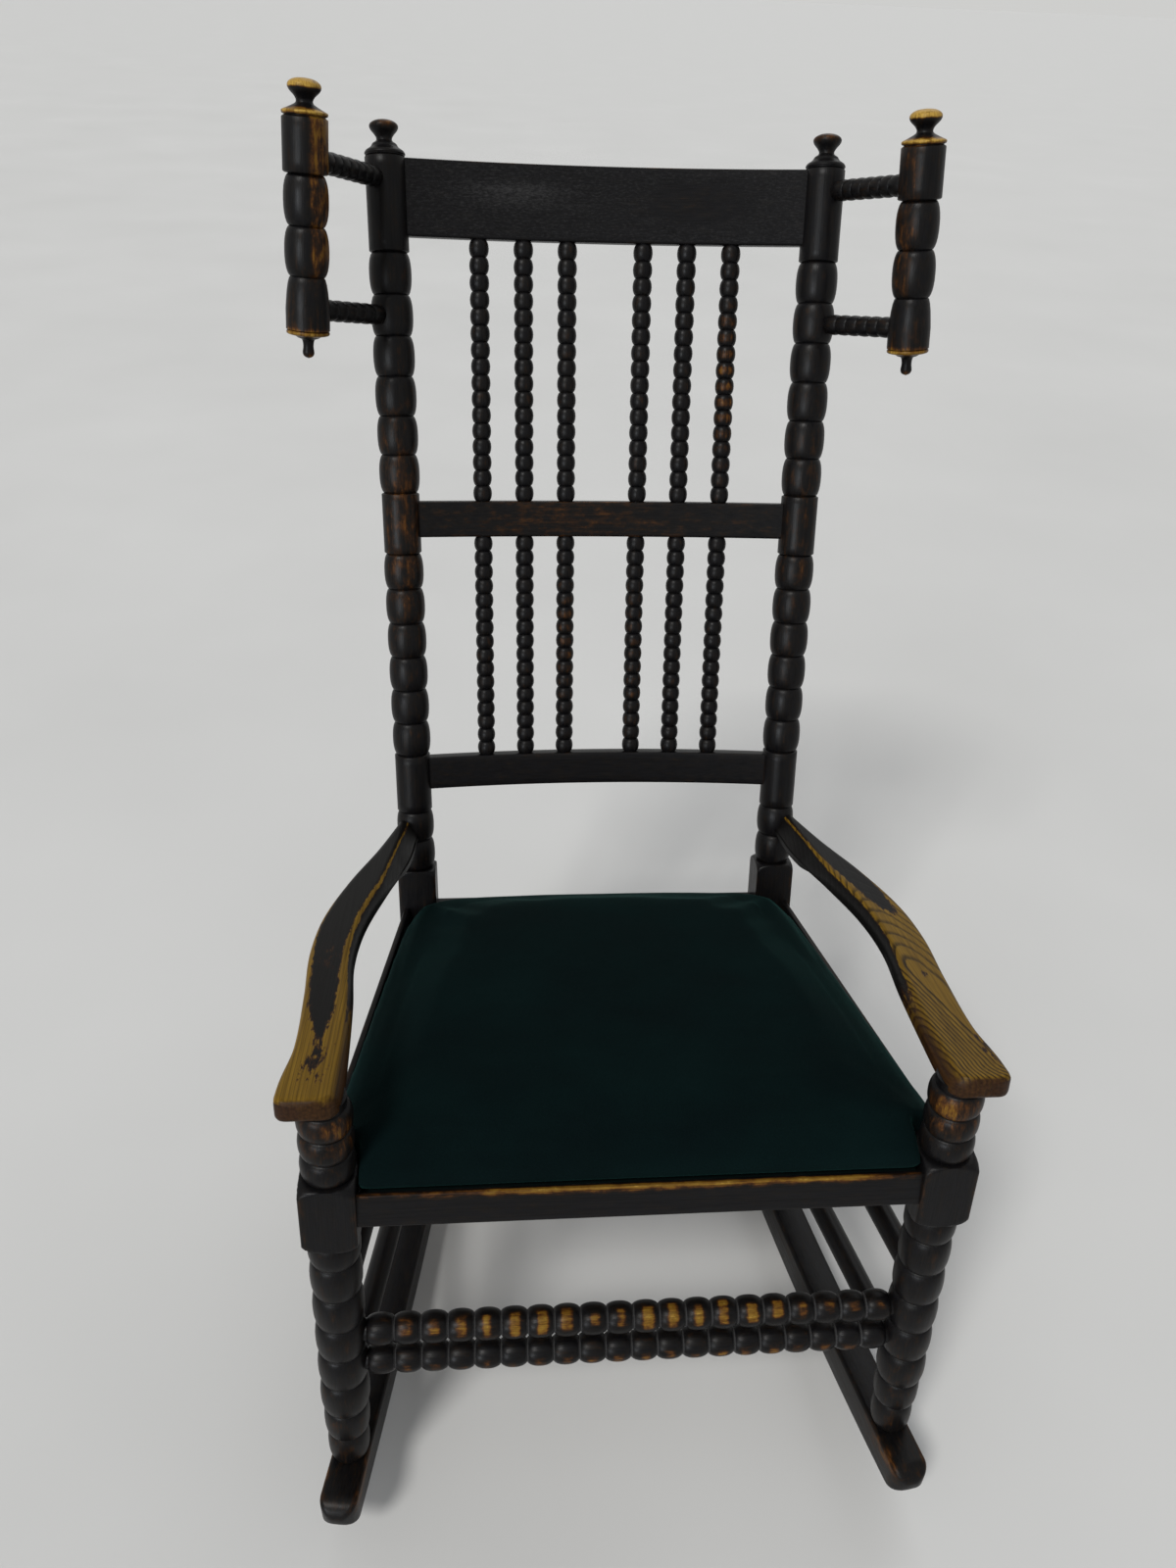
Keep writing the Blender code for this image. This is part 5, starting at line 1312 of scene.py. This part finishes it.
def ring_axis(forward):
    """Pith of the right arm's board: sideways place, and distances behind and ahead of its ends."""
    ahead = forward - PITH_FORWARD
    drift = np.where(ahead > 0.0, PITH_DRIFT, PITH_REAR_DRIFT)
    behind = PITH_SOFTNESS * np.log1p(np.exp(-ahead / PITH_SOFTNESS))
    return PITH_X + drift * np.minimum(ahead, PITH_LENGTH), behind, np.maximum(ahead - PITH_LENGTH, 0.0)


def arm_rings(side, x, forward):
    """Number of growth rings from the pith; on the right arm the board shows them as arches."""
    if side < 0:
        return x / LEFT_RING_STEP + forward * 1.5
    axis, behind, beyond = ring_axis(forward)
    aside = np.copysign(np.hypot(x - axis, beyond), x - axis)
    outer_blunt = 0.050 - 0.038 * step(forward, PITH_FORWARD + 0.02, PITH_FORWARD + 0.11)
    blunt = np.where(aside < 0.0, 0.010, outer_blunt)
    return RING_RATE * (np.hypot(aside, blunt) - blunt) + RINGS_BEHIND * behind - 0.10


def arm_figure(side, x, forward):
    """How strongly the growth rings show: clearest on the inner half of the right arm."""
    if side < 0:
        return LEFT_FIGURE
    inner = 1.0 - step(x - ring_axis(forward)[0], -0.006, 0.004)
    return RIGHT_FIGURE + (1.0 - RIGHT_FIGURE) * inner * step(forward, 0.12, 0.24)


def arm_section(inner, outer, ease, draw):
    """Outline of the arm's section from its inner to its outer edge, with its inner top edge eased."""
    half = ARM_THICKNESS / 2
    depth = min(ease * ARM_EASE_RATIO, ARM_THICKNESS * 0.85)
    inner += draw
    outer -= draw
    low, high = draw - half, half - draw
    corners = [(inner, low), (outer, low), (outer, high), (inner + ease, high), (inner, high - depth)]
    radii = np.array([ARM_ROUNDING * 0.8, ARM_ROUNDING, ARM_ROUNDING, ARM_EASE_ROUNDING, ARM_EASE_ROUNDING])
    radii *= 1.0 - 0.9 * draw / ARM_ROUNDING
    return fine_outline(corners, radii, [8, 2, 30, 4, 2], 5)


def arm_bareness(side, share, inward, outward, height):
    """Wear of the arm from distances to its upper arrises; the black finish is left in one patch."""
    shares, inner, outer = np.array(ARM_FINISH[side]).T
    inner = np.interp(share, shares, inner)
    outer = np.interp(share, shares, outer)
    edge = np.interp(share, ARM_FINISH_EDGE_SHARES, ARM_FINISH_EDGES[side])
    black = step(inward, inner - edge, inner + edge) * step(outward, outer - edge, outer + edge)
    black = black * (1.0 - step(share, shares[-1] - 0.08, shares[-1] + 0.03))
    across = (inward - outward) / np.maximum(inward + outward, 0.001)
    if side < 0:
        specks = 0.50 * bump_at(share, 0.89, 0.065) * bump_at(across, -0.10, 0.60)
        scuffs = 0.46 * bump_at(share, 0.57, 0.045) * bump_at(across, 0.0, 0.45)
        top = 0.95 - 1.03 * black + scuffs * black - specks
    else:
        smudge = 0.66 * bump_at(share, 0.915, 0.045) * bump_at(across, 0.72, 0.32)
        knot = 0.50 * bump_at(share, 0.69, 0.020) * bump_at(across, 0.0, 0.20)
        top = 1.05 - 1.13 * black - smudge - knot
    sides = np.where(inward < outward, step(share, 0.66, 0.84) - 0.08, 0.12)
    half = ARM_THICKNESS / 2
    upper = step(height, half - 0.0046, half - 0.0026) * step(inward, -0.0022, -0.0002)
    return sides + (top - sides) * upper


def dress_arm(name, side):
    """Arm swept from its seat in the post to its rounded front; sections are (across, up)."""
    leg_x, leg_y = crossing(ARM_FRAME, leg_point(1, 0.0), leg_up(1))
    post_x, post_y = crossing(ARM_FRAME, post_point(1, 0.0), post_up(1))
    rear_x = post_x + ARM_REAR_OFFSET
    rear_y = post_y - POST_DIAMETER / 2
    flare = leg_x + ARM_FRONT_OFFSET - rear_x
    length = rear_y - leg_y + ARM_FRONT_REACH
    swing, half = arm_line(ARM_EASE_END)
    ease_run = flare * ARM_EASE_END + swing - half
    loops = []
    details = []
    for place, draw in rounded_ends(-ARM_REAR_SEAT, length, ARM_SPANS, ARM_ROUNDING):
        share = min(max(place / length, 0.0), 1.0)
        swing, half = arm_line(share)
        middle = rear_x + flare * place / length + swing
        inner = middle - half + corner_draw(length - place, ARM_INNER_CORNER)
        outer = middle + half - corner_draw(length - place, ARM_OUTER_CORNER)
        arris = rear_x + ease_run * min(share / ARM_EASE_END, 1.0)
        ease = max(arris - inner, ARM_EASE_LEAST)
        section = arm_section(inner, outer, ease, draw)
        loops.append([(side * u, rear_y - place, v) for u, v in section])
        details.append([(share, u - inner - ease, outer - u, v, u, place) for u, v in section])
    points = np.array(loops)
    share, inward, outward, height, x, place = np.moveaxis(np.array(details), -1, 0)
    end = step(place, length - 0.0040, length - 0.0015)
    values = {
        "bare": arm_bareness(side, share, inward, outward, height),
        "stain": np.maximum(arm_stain(share, inward, height), 0.95 * end),
        "rings": arm_rings(side, x, place),
        "figure": arm_figure(side, x, place),
    }
    node = "arm_" + name
    grain = grain_of(node, points[..., [0, 2, 1]])
    make_piece(node, to_world(ARM_FRAME, points), grain, values, ARM_ASH)


def rocker_loops():
    """Rings of a rocker with a rounded toe and tail, in its own frame: X to the tail, Y up."""
    radius = ROCKER_END_HEIGHT / 2
    turns = [math.pi / 2 * i / NOSE_STEPS for i in range(NOSE_STEPS)]
    nose = [radius * (1.0 - math.cos(t)) + NOSE_GAP for t in turns]
    places = [n - ROCKER_FRONT for n in nose]
    places += list(np.linspace(-ROCKER_FRONT + radius, ROCKER_REAR - radius, ROCKER_PLACES))
    places += [ROCKER_REAR - n for n in reversed(nose)]
    loops = []
    for x in places:
        from_end = min(x + ROCKER_FRONT, ROCKER_REAR - x)
        beyond = max(radius - from_end, 0.0)
        share = math.sqrt(max(1.0 - (beyond / radius) ** 2, 0.0004))
        half_height = rocker_depth(x) / 2 * share
        half_width = ROCKER_THICKNESS / 2 - corner_draw(from_end, ROCKER_TOE_CORNER)
        middle = rocker_bottom(x) + rocker_depth(x) / 2
        section = box_section(half_height, half_width, min(ROCKER_ROUNDING, half_height * 0.9))
        loops.append([(x, middle + u, v) for u, v in section])
    return np.array(loops)


def dress_rocker(name, side):
    """Bent strip under a leg and a post; its toe is rubbed brown."""
    front, rear = feet(side)
    front.x -= side * ROCKER_FRONT_INSET
    rear.x -= side * ROCKER_REAR_INSET
    run = level_run(front, rear)
    origin = front + run * ((ROCKER_CONTACT_Y + SHIFT.y - front.y) / run.y)
    origin.z = 0.0
    matrix = Matrix((run, WORLD_Z, run.cross(WORLD_Z))).transposed().to_4x4()
    matrix.translation = origin
    points = rocker_loops()
    along, y, z = np.moveaxis(points, -1, 0)
    toe = 1.0 - step(along, -ROCKER_FRONT + 0.01, -ROCKER_FRONT + 0.11)
    height = y - np.vectorize(rocker_bottom)(along)
    edge = step(np.abs(z), ROCKER_THICKNESS / 2 - 0.005, ROCKER_THICKNESS / 2)
    rubbed = toe * (0.14 + 0.26 * edge) * step(height, 0.010, 0.030)
    bare = 0.06 + rubbed + 0.10 * edge * step(height, 0.02, 0.04)
    dark_piece("rocker_" + name, matrix, points, points[..., [1, 2, 0]], bare)


def dress_swept_pieces():
    for node in BACK_RAILS:
        dress_back_rail(node)
    for kind in ("front", "back", "left", "right"):
        dress_seat_rail(kind)
    for name, side in SIDES.items():
        dress_arm(name, side)
        dress_rocker(name, side)


# Drop-in seat: slips keep their CAD solids, the webbing and the pad are made here

SLIP_TOP = FIT - REBATE_DEPTH + SLIP_THICKNESS
SLIP_REAR = BACK_RAIL_Y + RAIL_THICKNESS - BACK_LIP - FIT
PAD_BOTTOM = SLIP_TOP + 2 * (STRAP_THICKNESS + FIT) + FIT
PAD_FRONT = FRONT_RAIL_Y + REBATE_LIP + PAD_GAP
BLOCK_INNER_X = LEG_SEAT_X - LEG_BLOCK / 2
BLOCK_REAR_Y = LEG_SEAT_Y + LEG_BLOCK / 2

# Layers of the pad's cage from below: height, and how far they bulge outwards
PAD_LAYERS = (
    (PAD_BOTTOM, 0.0),
    (PAD_BOTTOM + PAD_EDGE * 0.55, PAD_BULGE),
    (PAD_BOTTOM + PAD_EDGE, -PAD_TOP_INSET),
)


def node_span(node):
    """Lowest and highest places of a CAD node in the seat's own frame."""
    seat = np.array(SEAT_FRAME)
    item = frame["nodes"][node]
    corners = [(np.array(item.matrix_world @ v.co) - seat[:3, 3]) @ seat[:3, :3] for v in item.data.vertices]
    return np.min(corners, axis=0), np.max(corners, axis=0)


def dress_strap(way, number):
    """Woven strap with shallow cross ribs, as long and as wide as its CAD node."""
    node = "strap_" + way + "_" + str(number)
    low, high = node_span(node)
    run = 0 if way == "across" else 1
    wide = 1 - run
    half = (high - low) / 2
    middle = (low + high) / 2
    count = round((high[run] - low[run]) / STRAP_RIB)
    outline = box_section(half[wide], half[2], half[2] * 0.8)
    ribs = 0.86 + 0.14 * np.cos(np.arange(count + 1) * math.pi)[:, None]
    points = np.zeros((count + 1, len(outline), 3))
    points[..., run] = np.linspace(low[run], high[run], count + 1)[:, None]
    points[..., wide] = middle[wide] + outline[None, :, 0]
    points[..., 2] = middle[2] + outline[None, :, 1] * ribs
    from_end = half[run] - np.abs(points[..., run] - middle[run])
    cover = {"cover": 1.0 - step(from_end, STRAP_COVERED - 0.004, STRAP_COVERED)}
    grain = points[..., [wide, 2, run]]
    make_piece(node, to_world(SEAT_FRAME, points), grain, cover, JUTE, "seat")


def pad_spot(column, row_number):
    """Plan position of a cage point, by column from the left and row from the front."""
    notch = BLOCK_REAR_Y + NOTCH_GAP
    rear = SLIP_REAR - PAD_GAP
    corner = rear - PAD_CORNER
    third = (corner - notch) / 3
    rows = [PAD_FRONT + PAD_SLACK, notch, notch + third, notch + 2 * third, corner, rear - PAD_SLACK]
    y = rows[row_number]
    edge = RAIL_THICKNESS / 2 - REBATE_LIP - PAD_GAP - PAD_SLACK
    side_x = side_rail_x(y, edge)
    inner_x = BLOCK_INNER_X - NOTCH_GAP
    if row_number > 1:
        inner_x += side_x - side_rail_x(notch, edge)
    if row_number == PAD_ROWS:
        inner_x -= PAD_REAR_DRAW
        side_x = inner_x + PAD_CORNER * 0.7
        y -= PAD_CORNER * 0.5 if column in (0, PAD_COLUMNS) else 0.0
    return (-side_x, -inner_x, 0.0, inner_x, side_x)[column], y


def pad_point(layer, row_number, column):
    """Cage point of the pad in the seat's frame; the top layer is crowned."""
    height, outwards = PAD_LAYERS[layer]
    x, y = pad_spot(column, row_number)
    if column in (0, PAD_COLUMNS) and row_number < PAD_ROWS:
        x += outwards * math.copysign(1.0, x)
    if row_number == 0:
        y -= outwards
    if row_number == PAD_ROWS:
        y += min(outwards, 0.0)
    if layer == 2:
        across = 2.0 * column / PAD_COLUMNS - 1.0
        rise = math.sqrt(math.sin(math.pi * row_number / PAD_ROWS) + 1e-9)
        height += PAD_CROWN * (1.0 - across ** 2) * rise
    return x, y, height


def beside_notch(row_number, column):
    return (row_number, min(column, PAD_COLUMNS - column)) in ((0, 1), (1, 1), (1, 0))


def pad_cells():
    """Cells of the pad's plan as corners (row, column), without the legs' notches, and its border edges."""
    cells = []
    for r in range(PAD_ROWS):
        for c in range(PAD_COLUMNS):
            if r > 0 or 0 < c < PAD_COLUMNS - 1:
                cells.append(((r, c), (r, c + 1), (r + 1, c + 1), (r + 1, c)))
    border = []
    for corners in cells:
        for a, b in zip(corners, corners[1:] + corners[:1]):
            if (b, a) in border:
                border.remove((b, a))
            else:
                border.append((a, b))
    return cells, border


def pad_cage():
    """Coarse cage of the pad, creased along its lower rim and round the notches."""
    keys = list(np.ndindex(len(PAD_LAYERS), PAD_ROWS + 1, PAD_COLUMNS + 1))
    spots = {key: index for index, key in enumerate(keys)}
    cells, border = pad_cells()
    faces = []
    for corners in cells:
        faces.append([spots[(2, *spot)] for spot in corners])
        faces.append([spots[(0, *spot)] for spot in reversed(corners)])
    for a, b in border:
        for layer in (0, 1):
            corners = ((layer, *a), (layer, *b), (layer + 1, *b), (layer + 1, *a))
            faces.append([spots[corner] for corner in corners])
    mesh = bpy.data.meshes.new("pad_cage")
    mesh.from_pydata([pad_point(*key) for key in keys], [], faces)
    shape = bmesh.new()
    shape.from_mesh(mesh)
    crease = shape.edges.layers.float.new("crease_edge")
    rim = {frozenset((spots[(0, *a)], spots[(0, *b)])) for a, b in border}
    for edge in shape.edges:
        ends = [vertex.index for vertex in edge.verts]
        notched = all(beside_notch(*keys[end][1:]) for end in ends)
        edge[crease] = 1.0 if notched or frozenset(ends) in rim else 0.0
    loose = [vertex for vertex in shape.verts if not vertex.link_faces]
    bmesh.ops.delete(shape, geom=loose, context="VERTS")
    bmesh.ops.recalc_face_normals(shape, faces=shape.faces)
    shape.to_mesh(mesh)
    shape.free()
    return mesh


def settled(piece):
    graph = bpy.context.evaluated_depsgraph_get()
    return piece.evaluated_get(graph)


def points_of(mesh):
    points = np.empty(len(mesh.vertices) * 3)
    mesh.vertices.foreach_get("co", points)
    return points.reshape(-1, 3)


def stuffed_mesh():
    """Pad cage rounded, remeshed and blown up as cloth that is held where it is tacked under the slips."""
    maker = bpy.data.objects.new("pad_maker", pad_cage())
    bpy.context.scene.collection.objects.link(maker)
    rounding = maker.modifiers.new("rounding", "SUBSURF")
    rounding.levels = 4
    remesh = maker.modifiers.new("remesh", "REMESH")
    remesh.mode = "VOXEL"
    remesh.voxel_size = PAD_VOXEL
    bpy.context.view_layer.update()
    mesh = bpy.data.meshes.new_from_object(settled(maker))
    maker.data = mesh
    maker.modifiers.clear()
    start = points_of(mesh)
    end = blown_up(maker, start)
    move = evened(mesh, end - start)
    length = np.maximum(np.linalg.norm(move, axis=1, keepdims=True), 1e-9)
    move *= np.minimum(1.0, PAD_SWELL_CAP / length)
    mesh.vertices.foreach_set("co", front_rolled(start + move).ravel())
    bpy.data.objects.remove(maker, do_unlink=True)
    return mesh


def blown_up(maker, start):
    """Cloth with pressure, pinned along its lower edge and in the notches round the legs."""
    near_notch = np.abs(start[:, 0]) > BLOCK_INNER_X - NOTCH_HELD
    near_notch &= start[:, 1] < BLOCK_REAR_Y + NOTCH_HELD
    held = (start[:, 2] < PAD_BOTTOM + TACKED_HEIGHT) | near_notch
    group = maker.vertex_groups.new(name="held")
    group.add([int(i) for i in np.nonzero(held)[0]], 1.0, "REPLACE")
    cloth = maker.modifiers.new("cloth", "CLOTH")
    for key, value in CLOTH.items():
        setattr(cloth.settings, key, value)
    cloth.settings.effector_weights.gravity = 0.0
    cloth.collision_settings.use_collision = False
    scene = bpy.context.scene
    for number in range(1, CLOTH_FRAMES + 1):
        scene.frame_set(number)
    end = points_of(settled(maker).to_mesh())
    scene.frame_set(1)
    maker.modifiers.clear()
    return end


def evened(mesh, values):
    """Values of a mesh's points averaged with their neighbours' a few times."""
    ends = np.empty(len(mesh.edges) * 2, dtype=int)
    mesh.edges.foreach_get("vertices", ends)
    ends = ends.reshape(-1, 2)
    count = np.maximum(np.bincount(ends.ravel(), minlength=len(values)), 1)[:, None]
    for _ in range(PAD_SMOOTHING):
        total = np.zeros_like(values)
        np.add.at(total, ends[:, 0], values[ends[:, 1]])
        np.add.at(total, ends[:, 1], values[ends[:, 0]])
        values = (values + total / count) / 2
    return values


def front_rolled(points):
    """The stuffing rolls forward over the front rail's lip."""
    near = 1.0 - step(points[:, 1], PAD_FRONT + 0.002, PAD_FRONT + 0.014)
    height = points[:, 2]
    above = step(height, -0.0002, 0.0030) * (1.0 - step(height, 0.012, 0.026))
    rolled = points.copy()
    rolled[:, 1] -= PAD_OVERHANG * near * above
    return rolled


def dress_pad():
    mesh = stuffed_mesh()
    local = points_of(mesh)
    mesh.vertices.foreach_set("co", to_world(SEAT_FRAME, local).ravel())
    store(mesh, "grain", "FLOAT_VECTOR", local)
    mesh.shade_smooth()
    mesh.materials.clear()
    mesh.materials.append(VELVET)
    pad = show("seat_pad", mesh, "seat")
    finer = pad.modifiers.new("finer", "SUBSURF")
    finer.levels = 1
    finer.render_levels = 1


def dress_seat():
    wood = pine()
    for kind in ("front", "back", "left", "right"):
        for holder in frame["nodes"]["seat_slip_" + kind].material_slots:
            holder.material = wood
    for number in range(1, STRAPS + 1):
        dress_strap("across", number)
        dress_strap("along", number)
    dress_pad()


# Floor, light and camera

def make_floor():
    mesh = bpy.data.meshes.new("floor")
    shape = bmesh.new()
    bmesh.ops.create_circle(shape, cap_ends=True, segments=96, radius=FLOOR_RADIUS)
    shape.to_mesh(mesh)
    shape.free()
    mesh.materials.append(pale_floor())
    floor = bpy.data.objects.new("floor", mesh)
    bpy.context.scene.collection.objects.link(floor)


def add_lamp(name, turn, rise, spread, strength, colour):
    data = bpy.data.lights.new(name, "SUN")
    data.angle = math.radians(spread)
    data.energy = strength
    data.color = colour
    lamp = bpy.data.objects.new(name, data)
    turn = math.radians(turn)
    rise = math.radians(rise)
    source = Vector((math.sin(turn) * math.cos(rise), -math.cos(turn) * math.cos(rise), math.sin(rise)))
    lamp.rotation_euler = (-source).to_track_quat("-Z", "Y").to_euler()
    lamp.location = source * 4.0
    bpy.context.scene.collection.objects.link(lamp)


def make_light():
    """Soft even light; the camera and reflections see a backdrop as pale as the far floor."""
    world = bpy.data.worlds.new("studio")
    bpy.context.scene.world = world
    world.use_nodes = True
    nodes = Nodes(world.node_tree)
    ambient = world.node_tree.nodes["Background"]
    nodes.put(ambient.inputs["Color"], AMBIENT)
    nodes.put(ambient.inputs["Strength"], AMBIENT_STRENGTH)
    backdrop = nodes.add("ShaderNodeBackground", {"Color": BACKDROP, "Strength": 1.0})
    path = nodes.add("ShaderNodeLightPath").outputs
    seen = nodes.calc("MAXIMUM", path["Is Camera Ray"], path["Is Glossy Ray"])
    seen = nodes.calc("MAXIMUM", seen, path["Is Transmission Ray"])
    shaders = {0: seen, 1: ambient.outputs[0], 2: backdrop.outputs[0]}
    mixed = nodes.add("ShaderNodeMixShader", shaders).outputs[0]
    nodes.put(world.node_tree.nodes["World Output"].inputs["Surface"], mixed)
    for name, values in LAMPS.items():
        add_lamp(name, *values)


def make_camera():
    level = Vector((math.sin(CAMERA_YAW), math.cos(CAMERA_YAW), 0.0))
    right = Vector((math.cos(CAMERA_YAW), -math.sin(CAMERA_YAW), 0.0))
    ahead = level * math.cos(CAMERA_PITCH) - WORLD_Z * math.sin(CAMERA_PITCH)
    down = -(WORLD_Z * math.cos(CAMERA_PITCH) + level * math.sin(CAMERA_PITCH))
    image_x = right * math.cos(CAMERA_ROLL) - down * math.sin(CAMERA_ROLL)
    image_y = right * math.sin(CAMERA_ROLL) + down * math.cos(CAMERA_ROLL)
    data = bpy.data.cameras.new("camera")
    data.sensor_fit = "VERTICAL"
    data.sensor_height = 24.0
    data.lens = data.sensor_height * FOCAL_PIXELS / IMAGE_HEIGHT
    data.clip_start = 0.02
    data.clip_end = 5.0 * FLOOR_RADIUS
    camera = bpy.data.objects.new("camera", data)
    matrix = Matrix((image_x, -image_y, -ahead)).transposed().to_4x4()
    matrix.translation = CAMERA_PLACE + SHIFT
    camera.matrix_world = matrix
    bpy.context.scene.collection.objects.link(camera)
    bpy.context.scene.camera = camera


dress_turned_pieces()
dress_swept_pieces()
dress_seat()
make_floor()
make_light()
make_camera()
bpy.context.scene.view_settings.view_transform = "Standard"
